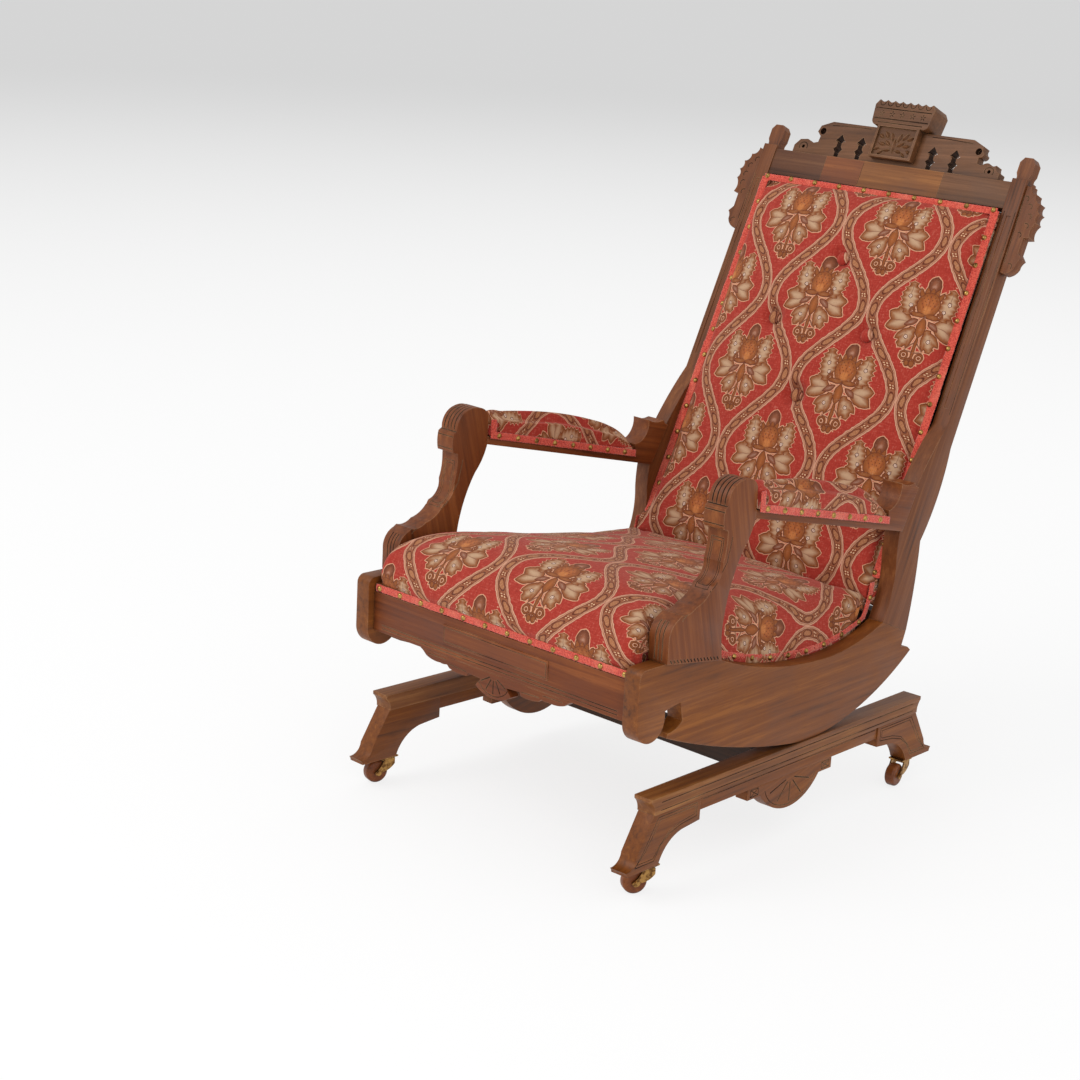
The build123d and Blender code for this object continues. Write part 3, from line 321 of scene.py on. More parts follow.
def palmette(m, n, ground, slub):
    """The woven plant inside each ogee: bud, artichoke, serrated leaves, a cone and a twin scroll below.
    Gives the coloured cloth, and the distance to the plant, below 0 inside."""
    def blade(*shape):
        return leaf(m, n, *shape)

    def joined(*shapes):
        whole = shapes[0]
        for shape in shapes[1:]:
            whole = whole.by("MINIMUM", shape)
        return whole

    scroll = joined(ring(m, n, (14.5, -65.5), 6.6, 1.9), disc(m, n, (14.5, -65.5), 2.4, 2.4),
                    blade((6.0, -72.0), (0.75, -0.66), 9.0, 2.0))
    low_leaf = joined(blade((21.0, -34.0), (0.43, -0.9), 23.0, 12.5, 2.2),
                      blade((26.0, -29.0), (0.83, -0.56), 19.0, 8.5),
                      blade((13.5, -35.0), (0.12, -1.0), 19.0, 6.5))
    side_leaf = joined(blade((43.0, -2.0), (1.0, 0.2), 23.5, 13.5), blade((43.0, -13.0), (0.9, -0.43), 25.5, 13.0),
                       blade((43.0, 4.0), (0.62, 0.78), 13.0, 8.0))
    high_leaf = blade((36.5, 33.0), (0.07, 1.0), 32.0, 16.5, 4.4)
    crown = joined(blade((0.0, 47.0), (0, 1), 13.0, 5.2), blade((8.5, 47.0), (0.22, 0.97), 12.5, 5.0),
                   blade((17.0, 43.0), (0.45, 0.89), 12.5, 4.6))
    parts = [
        (scroll, RIM, TAN),
        (disc(m, n, (4.6, -78.0), 4.8, 5.6), RIM, TAN),
        (blade((0.0, -50.0), (0, 1), 30.0, 3.2), RIM, ORANGE),
        (joined(blade((8.6, -47.0), (0.7, -0.71), 11.5, 0.9), blade((8.6, -57.5), (1.0, 0.2), 8.5, 0.8)),
         CREAM, CREAM),
        (low_leaf, RIM, LEAF_GREY),
        (side_leaf, RIM, LEAF_GREY),
        (high_leaf, RIM, LEAF_GREY),
        (blade((0.0, 62.5), (0, 1), 17.0, 12.5), "#6d3922", BUD),
        (crown, RIM, ORANGE),
        (disc(m, n, (0.0, 28.0), 21.5, 22.5), RIM, ORANGE),
        (joined(disc(m, n, (13.0, 8.0), 15.0, 4.6), ring(m, n, (26.5, 13.0), 4.4, 1.7)), RIM, "#d19a6c"),
        (blade((21.0, -7.5), (0.86, -0.5), 13.5, 5.6), "#80452b", "#cfae98"),
        (blade((0.0, -14.0), (0, 1), 19.0, 9.0), RIM, ORANGE),
    ]
    whole = joined(*(part[0] for part in parts))
    colour = whole.step(2.1, 1.6).dye(ground, CREAM)
    colour = whole.step(0.7, 0.1).dye(colour, DARK_LINE)
    for shape, rim, fill in parts:
        # the weaver shades each leaf from a pale heart to an orange-brown edge
        heart = (shape + slub * 10.0).step(-1.2, -12.5)
        colour = shape.step(0.2, -0.4).dye(colour, heart.dye(rim, fill))
        colour = ((shape + 0.5).by("ABSOLUTE").step(0.9, 0.3) * 0.75).dye(colour, DARK_LINE)
    # flames and seeds on the artichoke, about 5 mm apart
    flame = (m.by("ARCTAN2", n - 2.0) * 15.0).by("COSINE")
    within = disc(m, n, (0.0, 31.0), 18.0, 20.0).step(0.0, -4.0)
    colour = (within * flame.step(0.3, 0.9) * 0.55).dye(colour, "#8c4420")
    seeds = (m * 0.78).by("COSINE") * (n * 0.62).by("SINE")
    colour = (within * seeds.step(0.62, 0.86) * 0.8).dye(colour, "#5a2a18")
    lit = disc(m, n, (0.0, 18.0), 9.0, 10.0).step(1.0, -5.0)
    colour = (lit * 0.45).dye(colour, "#d88b4c")
    # midribs, the bud's pale lip and the small stars on the leaves
    ribs = joined(blade((45.0, -9.0), (1.0, -0.16), 17.0, 0.8), blade((38.0, 47.0), (0.05, 1), 12.0, 0.8))
    colour = (ribs.step(0.4, -0.3) * 0.6).dye(colour, "#744430")
    lip = disc(m, n, (0.0, 60.0), 5.0, 5.5)
    colour = (lip.step(1.0, -3.0) * (n - 60.0).step(-4.0, 2.0) * 0.6).dye(colour, "#b98a74")
    for spot in ((21.5, -34.0), (37.5, 37.0), (31.5, 21.5)):
        a, b = m - spot[0], n - spot[1]
        star = (a * a + b * b).by("SQRT") + (a.by("ARCTAN2", b) * 5.0).by("COSINE") * 0.55
        for low, high, tone in ((4.1, 3.5, "#5a2b1d"), (2.7, 2.2, "#e6cbb8"), (1.2, 0.8, "#9a6a50")):
            colour = star.step(low, high).dye(colour, tone)
    return colour, whole


def damask(name):
    """Cotton and wool tapestry damask: an ogee lattice of tan ribbon on a red ground, woven with slubby
    yarn, matt with a soft nap. Its threads are 0.6 mm apart, drawn here as slubs 2 to 3 mm wide."""
    made, tree, shader = material(name)
    cloth = add(tree, "UVMap", uv_map="cloth").outputs[0]
    split = add(tree, "SeparateXYZ", (cloth,))
    drift = add(tree, "TexNoise", {"Vector": cloth, "Scale": 90.0, "Detail": 2.0}, noise_dimensions="2D")
    sway = add(tree, "SeparateColor", (drift.outputs[1],))
    u = Field(split.outputs[0]) * 1000.0 + (Field(sway.outputs[0]) - 0.5) * 3.4
    v = Field(split.outputs[1]) * 1000.0 + (Field(sway.outputs[1]) - 0.5) * 3.4
    slub_across = mottle(tree, cloth, (80.0, 420.0, 1.0), 3.0, 0.6)
    slub_along = mottle(tree, cloth, (420.0, 80.0, 1.0), 3.0, 0.6)
    slub = slub_across * 0.5 + slub_along * 0.5 - 0.5
    swing = OGEE_WIDTH / 4 - RIBBON_HALF
    turn = v * (2 * math.pi / OGEE_HEIGHT)
    fold = u.by("PINGPONG", OGEE_WIDTH / 2)
    middle = turn.by("COSINE") * swing + OGEE_WIDTH / 4
    slope = turn.by("SINE") * (swing * 2 * math.pi / OGEE_HEIGHT)
    lengthen = (slope * slope + 1.0).by("SQRT")
    off = (fold - middle) * lengthen.by("POWER", -1.0)
    across = off.by("ABSOLUTE")
    ours = (fold - middle).step(0.01, -0.01)
    m = fold * ours + (OGEE_WIDTH / 2 - fold) * (1.0 - ours)
    n = (v + (1.0 - ours) * (OGEE_HEIGHT / 2)).by("WRAP", OGEE_HEIGHT / 2, -OGEE_HEIGHT / 2)
    ground = slub.step(-0.2, 0.2).dye("#9c2c21", "#b0392b")
    colour, plant = palmette(m, n, ground, slub)
    # the ribbon: a cream selvage each side, and a core with long ovals and four-dot squares every 43 mm
    core = across.step(5.6, 6.4).dye("#935638", DARK_LINE)
    run = v * 1.19 - (turn * 2.0).by("SINE") * (0.19 * OGEE_HEIGHT / (4 * math.pi))
    cell = run.by("WRAP", CELL_HALF, -CELL_HALF)
    oval = disc(off, cell, (0.0, 0.0), 5.4, 13.0)
    core = oval.step(0.4, -0.2).dye(core, oval.step(-0.9, -1.7).dye(DARK_LINE, "#a56a47"))
    pips = (cell * 1.2).by("COSINE") * (off * 1.3).by("COSINE")
    core = (oval.step(-1.6, -2.2) * pips.step(0.2, 0.5) * 0.45).dye(core, "#c48c5c")
    edge = CELL_HALF - cell.by("ABSOLUTE")
    core = (edge.step(5.4, 4.8) * across.step(6.0, 5.4)).dye(core, "#7d3a20")
    dots = disc(across, edge, (2.3, 2.4), 1.35, 1.35)
    core = dots.step(0.3, -0.3).dye(core, "#e0b48c")
    for low, high, tone in ((12.2, 11.4, DARK_LINE), (11.6, 11.2, "#d39c80"), (10.0, 9.6, "#ab7355")):
        colour = across.step(low, high).dye(colour, tone)
    colour = ((across - 7.6).by("ABSOLUTE").step(0.7, 0.3) * 0.8).dye(colour, "#cf987c")
    colour = across.step(7.3, 6.9).dye(colour, core)
    colour = (slub.step(0.02, 0.2) * 0.2).dye(colour, "#e2bfa6")
    colour = (slub.step(-0.02, -0.2) * 0.22).dye(colour, "#4a1c14")
    raised = across.step(12.0, 10.5) + plant.step(1.0, -1.0)
    finish(tree, shader, colour, raised * 0.25 + slub * 1.4, 0.55, 0.0007, Roughness=0.88,
           Sheen_Weight=0.14, Sheen_Roughness=0.5, Specular_IOR_Level=0.25)
    shader.inputs["Sheen Tint"].default_value = srgb("#ffd9c8")
    return made


def braid_cloth():
    """Scroll gimp of coral mercerised cotton over cord: soft, fuzzy and matt, a little faded in patches."""
    made, tree, shader = material("gimp_coral_cotton")
    here = add(tree, "TexCoord").outputs["Object"]
    # tufts 2.2 mm across
    tuft = mottle(tree, here, (450.0, 450.0, 450.0), 2.0, 0.6)
    fade = mottle(tree, here, (18.0, 18.0, 18.0), 3.0)
    colour = tuft.step(0.38, 0.62).dye("#b93a2e", "#e2604c")
    colour = (fade.step(0.5, 0.75) * 0.4).dye(colour, "#ea8a70")
    finish(tree, shader, colour, tuft, 0.8, 0.0012, Roughness=0.95, Sheen_Weight=0.4,
           Specular_IOR_Level=0.2)
    return made


# ---- materials: metal and the rest ---------------------------------------------------------------
def aged_metal(name, bright, patina, rough, share, metallic=1.0):
    """Metal with its polish rubbed bright on the high places and dark patina left round them."""
    made, tree, shader = material(name)
    here = add(tree, "TexCoord").outputs["Object"]
    cloud = mottle(tree, here, (160.0, 160.0, 160.0), 4.0, 0.6)
    colour = cloud.step(share - 0.1, share + 0.1).dye(bright, patina)
    colour = (edge_wear(tree, 0.0012) * 0.5).dye(colour, bright)
    finish(tree, shader, colour, cloud, 0.2, 0.0004, Metallic=metallic,
           Roughness=cloud.step(0.3, 0.7) * 0.25 + (rough - 0.1))
    return made


def woven_jute():
    """Upholsterer's jute webbing: coarse plain weave, dusty brown, threads 2 mm apart."""
    made, tree, shader = material("webbing_woven_jute")
    here = add(tree, "TexCoord").outputs["Object"]
    split = add(tree, "SeparateXYZ", (here,))
    x, y = Field(split.outputs[0]), Field(split.outputs[1])
    weave = (x * (math.pi / 0.004)).by("SINE") * (y * (math.pi / 0.004)).by("SINE")
    colour = weave.step(-0.6, 0.6).dye("#6f5636", "#a1855a")
    finish(tree, shader, colour, weave, 0.6, 0.0006, Roughness=0.95)
    return made


def dress(names, made):
    """Gives these CAD nodes that material."""
    for name in names:
        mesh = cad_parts[name].data
        mesh.materials.clear()
        mesh.materials.append(made)


def both(*names):
    """The left and the right node of each name."""
    return [f"{name}_{side}" for name in names for side in ("left", "right")]


brass = aged_metal("brass_antique_stamped", "#a9804a", "#6b4a2a", 0.42, 0.52)
nail_brass = aged_metal("nail_brass_antiqued_dome", "#c09a58", "#6e5230", 0.34, 0.56)
iron = aged_metal("iron_black_forged", "#3a3835", "#211d1a", 0.55, 0.45, 0.85)
spring_steel = aged_metal("steel_spring_oiled", "#6c6a66", "#3f3a35", 0.42, 0.5)

dress(both("side_board"), walnut_of("side", (0, 1, 0), "walnut_side_board"))
dress(both("back_stile"), walnut_of("stile", UP, "walnut_back_stile"))
dress(both("arm_post"), walnut_of("post", (0, -0.25, 1), "walnut_arm_post"))
dress(both("arm_rail"), walnut_of("post", (0, 1, -0.22), "walnut_arm_rail"))
dress(both("base_cap"), walnut_of("cap", (0, 1, 0), "walnut_platform_cap"))
dress(both("base_rail", "base_foot_front", "base_foot_rear"),
      walnut_of("side", (0, 1, 0), "walnut_platform_rail"))
dress(both("base_pendant"), walnut_of("side", (0, 1, 0.2), "walnut_platform_fan"))
# the hidden rails take the dark "under" walnut, painted shade
dress(["base_stretcher_front", "base_stretcher_rear", "seat_rear_rail", "back_lower_rail"],
      walnut_of("under", (1, 0, 0), "walnut_hidden_rail_shade_darkened", coat=0.1, rough=0.6))
dress(["seat_front_rail", "seat_apron"], walnut_of("rail", (1, 0, 0), "walnut_seat_rail"))
dress(["back_top_rail"], walnut_of("crest", (1, 0, 0), "walnut_top_rail"))
dress(["crest_board", "crest_block"], walnut_of("crest", (1, 0, 0.1), "walnut_crest"))
dress(both("back_ear", "back_finial"), walnut_of("stile", (0, 0.3, 1), "walnut_ear_and_finial"))
# the back's outside panel takes the dark "under" walnut, painted shade
dress(["back_outside_panel"], walnut_of("under", (0, 0.4, 0.9), "walnut_back_panel_shade_darkened", coat=0.1, rough=0.6))
dress([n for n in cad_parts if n.startswith("caster_wheel")],
      walnut_of("post", (1, 0, 0), "walnut_caster_wheel", rough=0.42))
dress([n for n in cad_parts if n.startswith(("caster_horn", "caster_axle", "caster_sockets"))], brass)
dress(["base_screws", "base_spring_brackets", "rocker_spring_brackets"], iron)
dress(["seat_springs", "centring_springs"], spring_steel)
dress(["brass_nails", "arm_axis_nails"], nail_brass)
dress(["seat_webbing"], woven_jute())
# a darker walnut for the walls of narrow lines and piercings: grime, and painted shade in the cuts
grime_and_shade = walnut("walnut_cut_grime_and_painted_shade", (0, 1, 0), "#2a170d", "#3d2416", "#523220", rough=0.72, coat=0.0)
cover = damask("cotton_damask_red")
gimp_cotton = braid_cloth()


# ---- carving: copies of the wooden pieces with eased arrises and cut ornament --------------------
def groove(spots, width, depth, flat=0.15):
    """Corners and faces of a bar to cut along spots, each a place and the way out of the wood there; its
    section narrows to flat at the bottom. Millimetres."""
    half, low, rise = width / 2000, flat / 2000, 0.0006
    corners, faces = [], []
    last = len(spots) - 1
    for i, (place, out) in enumerate(spots):
        ahead = (spots[min(i + 1, last)][0] - spots[max(i - 1, 0)][0]).normalized()
        side = ahead.cross(out).normalized()
        wide = half + (half - low) * rise * 1000 / depth
        top, bottom = place + out * rise, place - out * depth / 1000
        corners += [top - side * wide, top + side * wide, bottom + side * low, bottom - side * low]
        if i:
            k = 4 * i
            faces += [(k - 4 + a, k - 4 + (a + 1) % 4, k + (a + 1) % 4, k + a) for a in range(4)]
    faces += [(3, 2, 1, 0), tuple(4 * last + a for a in range(4))]
    return corners, faces


def laid(surface, path, toward, pace=0.005):
    """Drops a path on a surface along toward, and gives each place with the way out of the wood."""
    spots = []
    for here, there in zip(path, path[1:]):
        count = max(1, round((there - here).length / pace))
        for i in range(count + (there is path[-1])):
            place, out, _, _ = surface.ray_cast(here.lerp(there, i / count) - toward * 0.05, toward, 0.1)
            if place and out.dot(toward) < -0.2:
                spots.append((place, out))
    return spots


def prism(outline, depth, toward):
    """A straight cutter: the outline carried along toward by that many metres."""
    count = len(outline)
    corners = list(outline) + [p + toward * depth for p in outline]
    faces = [(a, (a + 1) % count, count + (a + 1) % count, count + a) for a in range(count)]
    return corners, faces + [tuple(reversed(range(count))), tuple(range(count, 2 * count))]


def lens(place, along, out, length, width, height):
    """A raised leaf on a panel: pointed at both ends, ridged along the middle."""
    side = along.cross(out).normalized()
    count = 7
    corners, faces = [], []
    for i in range(count):
        t = i / (count - 1)
        swell = math.sin(math.pi * t) ** 0.8 if 0 < t < 1 else 0.02
        mid = place + along * (t - 0.5) * length / 1000
        reach = side * swell * width / 2000
        corners += [mid - reach - out * 0.001, mid + out * height * (0.35 + 0.65 * swell) / 1000,
                    mid + reach - out * 0.001]
        if i:
            k = 3 * i
            faces += [(k - 3, k - 2, k + 1, k), (k - 2, k - 1, k + 2, k + 1), (k - 1, k - 3, k, k + 2)]
    return corners, faces + [(2, 1, 0), (3 * count - 3, 3 * count - 2, 3 * count - 1)]


def solid(name, pieces, slot=0):
    """One mesh of closed pieces, each corners, faces and perhaps a material slot of its own."""
    work = bmesh.new()
    for corners, faces, *own in pieces:
        made = [work.verts.new(p) for p in corners]
        for face in faces:
            work.faces.new([made[i] for i in face]).material_index = own[0] if own else slot
    work.normal_update()
    bmesh.ops.recalc_face_normals(work, faces=work.faces)
    mesh = bpy.data.meshes.new(name)
    work.to_mesh(mesh)
    work.free()
    return mesh


def sharpen(mesh, angle=math.radians(24)):
    """Smooth shading over the curves, with every arris left crisp."""
    work = bmesh.new()
    work.from_mesh(mesh)
    for face in work.faces:
        face.smooth = True
    for edge in work.edges:
        edge.smooth = len(edge.link_faces) == 2 and edge.calc_face_angle(0) < angle
    work.to_mesh(mesh)
    work.free()


def carve(name, body, lines=(), cuts=(), raised=(), easing=0.8):
    """A copy of a wooden node with its arrises eased and grooves, cuts and raised work added.
    A line is (path, toward, width, depth) or (path, toward, width, depth, flat)."""
    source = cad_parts[name].data
    work = bmesh.new()
    work.from_mesh(source)
    bmesh.ops.remove_doubles(work, verts=work.verts, dist=2e-6)
    bmesh.ops.dissolve_limit(work, angle_limit=math.radians(0.5), verts=work.verts, edges=work.edges)
    arrises = [e for e in work.edges if len(e.link_faces) == 2 and e.calc_face_angle(0) > math.radians(30)]
    bmesh.ops.bevel(work, geom=arrises, offset=easing / 1000, segments=2, profile=0.6, affect="EDGES",
                    clamp_overlap=False)
    surface = BVHTree.FromBMesh(work)
    mesh = bpy.data.meshes.new(f"{name}_carved")
    work.to_mesh(mesh)
    work.free()
    mesh.materials.append(source.materials[0])
    mesh.materials.append(grime_and_shade)
    made = add_object(mesh.name, mesh)
    bars = []
    for path, toward, *shape in lines:
        spots = laid(surface, path, toward)
        if len(spots) > 1:
            # a trough shows clean wood; a narrow line gets the dark walnut, its grime and painted shade
            bars.append(groove(spots, *shape) + ((0,) if shape[0] > 5 else ()))
    if bars or cuts:
        # cuts without a slot of their own take the dark walnut on their walls: grime and painted shade
        tool = add_object("chisel", solid("chisel", bars + list(cuts), 1))
        chip = made.modifiers.new("chip", "BOOLEAN")
        chip.operation, chip.solver, chip.use_self, chip.object = "DIFFERENCE", "EXACT", True, tool
        done = bpy.data.meshes.new_from_object(made.evaluated_get(bpy.context.evaluated_depsgraph_get()))
        made.modifiers.clear()
        made.data = done
        bpy.data.objects.remove(tool)
    if raised:
        work = bmesh.new()
        work.from_mesh(made.data)
        work.from_mesh(solid("leaves", raised))
        work.to_mesh(made.data)
        work.free()
    sharpen(made.data)
    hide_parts(name)
    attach(made, body)
    return made


def veneer(made, seams, toward, within, tone, name):
    """Gives the faces seen along toward and within a place a veneer of their own, split at the seams."""
    work = bmesh.new()
    work.from_mesh(made.data)
    for normal, spot in seams:
        bmesh.ops.bisect_plane(work, geom=work.verts[:] + work.edges[:] + work.faces[:], dist=1e-6,
                               plane_co=spot, plane_no=normal)
    slot = len(made.data.materials)
    for face in work.faces:
        if face.material_index == 0 and face.normal.dot(toward) < -0.5 and within(face.calc_center_median()):
            face.material_index = slot
    work.to_mesh(made.data)
    work.free()
    made.data.materials.append(walnut_of(tone, (1, 0, 0), name))


def bar(carry, *points):
    """A path of points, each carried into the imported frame."""
    return [Vector(carry(*p)) for p in points]


def carve_post(way, side):
    """Head with radial flutes, a panel of double lines down the hollow front, ridges on the lower scroll
    and a row of chip cuts along the seam with the side board."""
    carry = on_side(way)
    turn = Vector(carry(0, 1, 0)) - Vector(carry(0, 0, 0))
    ahead = turn.normalized()
    over = (ahead * 0.75 - Vector((0, 0, 0.66))).normalized()
    lines = []
    head = [(-236, 601), (-230, 614), (-221, 626), (-207, 633), (-192, 634)]
    for out in (-12, -4, 4, 12):
        lines.append((bar(carry, *((out, y, z) for y, z in head)), over, 2.4, 1.6))
    for z, width in ((599, 2.6), (591, 1.6), (570, 1.6), (561, 3.0), (447, 2.4)):
        lines.append((bar(carry, (-19, -240, z), (19, -240, z)), ahead, width, 1.5))
    for reach, low, high in ((12.0, 472, 547), (8.5, 477, 542)):
        corners = [(-reach, low), (reach, low), (reach, high), (-reach, high), (-reach, low)]
        for (a, b), (c, d) in zip(corners, corners[1:]):
            lines.append((bar(carry, (a, -240, b), (c, -240, d)), ahead, 1.1, 0.9))
    for out in (-7, 0, 7):
        lines.append((bar(carry, (out, -345, 437), (out, -357, 410), (out, -357, 378)), ahead, 1.8, 1.2))
    for face in (-1, 1):
        inward = -face * way * Vector((math.cos(TOE_IN), way * math.sin(TOE_IN), 0))
        for k in range(15):
            y = -347 + 8.2 * k
            z = 374 - 0.155 * (y + 355)
            chip = bar(carry, (19.5 * face, y - 2.5, z + 7.5), (19.5 * face, y + 2, z + 1.5))
            lines.append((chip, inward, 2.6, 1.4))
        edge = [(-332, 440), (-322, 452), (-292, 458), (-256, 482), (-232, 514), (-223, 552)]
        lines.append((bar(carry, *((19.5 * face, y + 6, z - 3) for y, z in edge)), inward, 1.4, 0.9))
    carve(f"arm_post_{side}", "chair", lines)


def carve_crest():
    """Arrow piercings with dark walls (grime and painted shade), drilled eyes in the hooks and a line along the
    lower scrolls.
    """
    low = 620.0
    lines, cuts = [], []
    shaft = [(0, 44), (11, 31), (5, 32), (5, 21), (10, 16), (5, 11), (5, 2)]
    for x in (-124.0, -77.0, 77.0, 124.0):
        shape = [(x + a, low + b) for a, b in shaft] + [(x - a, low + b) for a, b in reversed(shaft[1:])]
        cuts.append(prism([on_back(a, b, 3) for a, b in shape], 0.04, INTO_BACK))
    for way in (-1, 1):
        for x, up, r in ((168, low + 46, 6.5), (201, low + 13, 3.5)):
            turns = [k * math.pi / 8 for k in range(16)]
            eye = [on_back(way * x + r * math.cos(a), up + r * math.sin(a), 3) for a in turns]
            cuts.append(prism(eye, 0.018, INTO_BACK))
        curl = [(way * (201 + 9 * math.cos(a)), low + 13 + 8 * math.sin(a)) for a in np.linspace(-0.6, 3.6, 14)]
        lines.append((bar(on_back, *((a, b, 0) for a, b in curl)), INTO_BACK, 1.8, 1.2))
        rim = [(way * x, low + up) for x, up in ((152, 59), (100, 61), (66, 61))]
        lines.append((bar(on_back, *((a, b, 0) for a, b in rim)), INTO_BACK, 1.6, 1.0))
    carve("crest_board", "chair", lines, cuts)


def carve_block():
    """The cap has arcs below its scallops, a line and five small flowers; the panel below holds a plant in
    relief, its leaves about 14 mm long."""
    lines, raised = [], []
    for k in range(7):
        x = -57 + 114 / 7 * (k + 0.5)
        arc = [(x + 6 * math.cos(a), 731 - 8 * math.sin(a)) for a in np.linspace(0.15, math.pi - 0.15, 9)]
        lines.append((bar(on_back, *((a, b, 9) for a, b in arc)), INTO_BACK, 1.8, 1.4))
    for up, reach, width in ((718, 60, 2.2), (699, 58, 2.6), (692, 48, 1.8)):
        lines.append((bar(on_back, (-reach, up, 9), (reach, up, 9)), INTO_BACK, width, 1.6))
    for k in range(5):
        for turn in range(5):
            a = 2 * math.pi * turn / 5 + math.pi / 2
            x = -44 + 22 * k
            lines.append((bar(on_back, (x + 1.5 * math.cos(a), 708.5 + 1.5 * math.sin(a), 9),
                              (x + 6 * math.cos(a), 708.5 + 6 * math.sin(a), 9)), INTO_BACK, 1.8, 1.0))
    panel = [(-40, 632), (40, 632), (40, 685), (-40, 685)]
    cuts = [prism([on_back(a, b, 11) for a, b in panel], 0.0065, INTO_BACK) + (0,)]
    out = -INTO_BACK
    plant = [(0, 652, 90, 26, 9)]
    for way in (-1, 1):
        plant += [(way * 8, 668, 90 - way * 18, 17, 9), (way * 20, 671, 90 - way * 38, 17, 9),
                  (way * 31, 668, 90 - way * 60, 15, 8), (way * 14, 656, 90 - way * 55, 17, 8),
                  (way * 26, 654, 90 - way * 80, 17, 8), (way * 34, 644, 90 - way * 115, 13, 7),
                  (way * 12, 643, 90 - way * 100, 16, 7), (way * 24, 638, 90 - way * 128, 13, 6)]
    for x, up, turn, length, width in plant:
        a = math.radians(turn)
        along = (Vector((1, 0, 0)) * math.cos(a) + UP * math.sin(a)).normalized()
        raised.append(lens(Vector(on_back(x, up, 5.6)), along, out, length, width, 4.0))
    carve("crest_block", "chair", lines, cuts, raised)


def carve_stile(way, side):
    """A flat trough down the front of the stile above the arm, and a line inside each of its edges."""
    ahead = INTO_BACK
    def carry(out, up):
        y = BACK_FOOT[0] + up * math.sin(LEAN)
        z = BACK_FOOT[1] + up * math.cos(LEAN)
        return on_side(way)(out, y, z)
    lines = [(bar(carry, (1, 215), (1, 560)), ahead, 9.0, 1.3, 7.5)]
    lines += [(bar(carry, (out, 205), (out, 568)), ahead, 1.2, 0.9) for out in (-9.5, 11.5)]
    carve(f"back_stile_{side}", "chair", lines)


def carve_ear(way, side):
    """Two upright lines and a row of gouge cuts that follow the lobes."""
    x0 = SIDE_SPREAD + HALF_FRAME - 532 * math.tan(TOE_IN) - 8       # the ear's inner edge
    lines = []
    for x in (5, 9):
        lines.append((bar(on_back, (way * (x0 + x + 4), 480, 0), (way * (x0 + x), 600, 0)), INTO_BACK, 1.4, 1.1))
    for x, up in ((30, 556), (30, 573), (25, 590), (14, 603), (22, 539), (24, 483)):
        arc = [(way * (x0 + x + 5 * math.sin(a)), up - 8 + 5 * math.cos(a)) for a in np.linspace(-0.6, 2.4, 8)]
        lines.append((bar(on_back, *((a, b, 0) for a, b in arc)), INTO_BACK, 1.6, 1.1))
    carve(f"back_ear_{side}", "chair", lines)


def carve_rail():
    """Lines along the front rail above and below its veneer panel, and a line round the panel."""
    lines = [(bar(hung, (-262, -400, z), (262, -400, z)), INTO_FRONT, 1.4, 1.0) for z in (296, 290)]
    lines += [(bar(hung, (-113, -402, z), (113, -402, z)), INTO_FRONT, 1.2, 0.8) for z in (308, 332)]
    lines += [(bar(hung, (x, -402, 308), (x, -402, 332)), INTO_FRONT, 1.2, 0.8) for x in (-113, 113)]
    made = carve("seat_front_rail", "chair", lines)
    seams = [((1, 0, 0), hung(x, 0, 0)) for x in (-113, 113)]
    seams += [((0, 0, 1), hung(0, 0, z)) for z in (308, 332)]
    veneer(made, seams, INTO_FRONT, lambda p: abs(p.x) < 0.113 and 0.308 < p.z < 0.332, "panel",
           "walnut_front_panel_veneer")


def carve_top_rail():
    """Faced with four sheets of veneer cut from different boards, with a hairline between them."""
    splits = (-138, -54, 117)
    lines = [(bar(on_back, (x, 570, 12), (x, 616, 12)), INTO_BACK, 0.7, 0.5) for x in splits]
    made = carve("back_top_rail", "chair", lines)
    seams = [((1, 0, 0), hung(x, 0, 0)) for x in splits]
    for low, high, tone in ((-0.4, -0.138, "dark"), (-0.138, -0.054, "orange"), (-0.054, 0.117, "yellow")):
        veneer(made, seams, INTO_BACK, lambda p: low < p.x < high, tone, f"walnut_rail_veneer_{tone}")


def carve_apron():
    """Five rays and a rim on the fan, and a line that follows the lobes at each side of it."""
    lines = []
    for turn in (-62, -31, 0, 31, 62):
        a = math.radians(turn)
        lines.append((bar(hung, (9 * math.sin(a), -400, 279 - 7 * math.cos(a)),
                          (31 * math.sin(a), -400, 279 - 30 * math.cos(a))), INTO_FRONT, 2.2, 1.5))
    rim = [(36 * math.sin(a), 276 - 30 * math.cos(a)) for a in np.linspace(-1.3, 1.3, 20)]
    lines.append((bar(hung, *((x, -400, z) for x, z in rim)), INTO_FRONT, 1.4, 1.0))
    for way in (-1, 1):
        lines.append((bar(hung, (way * 62, -400, 270), (way * 100, -400, 272)), INTO_FRONT, 1.4, 1.0))
        lines.append((bar(hung, (way * 108, -400, 277), (way * 150, -400, 278)), INTO_FRONT, 1.2, 0.9))
    carve("seat_apron", "chair", lines)


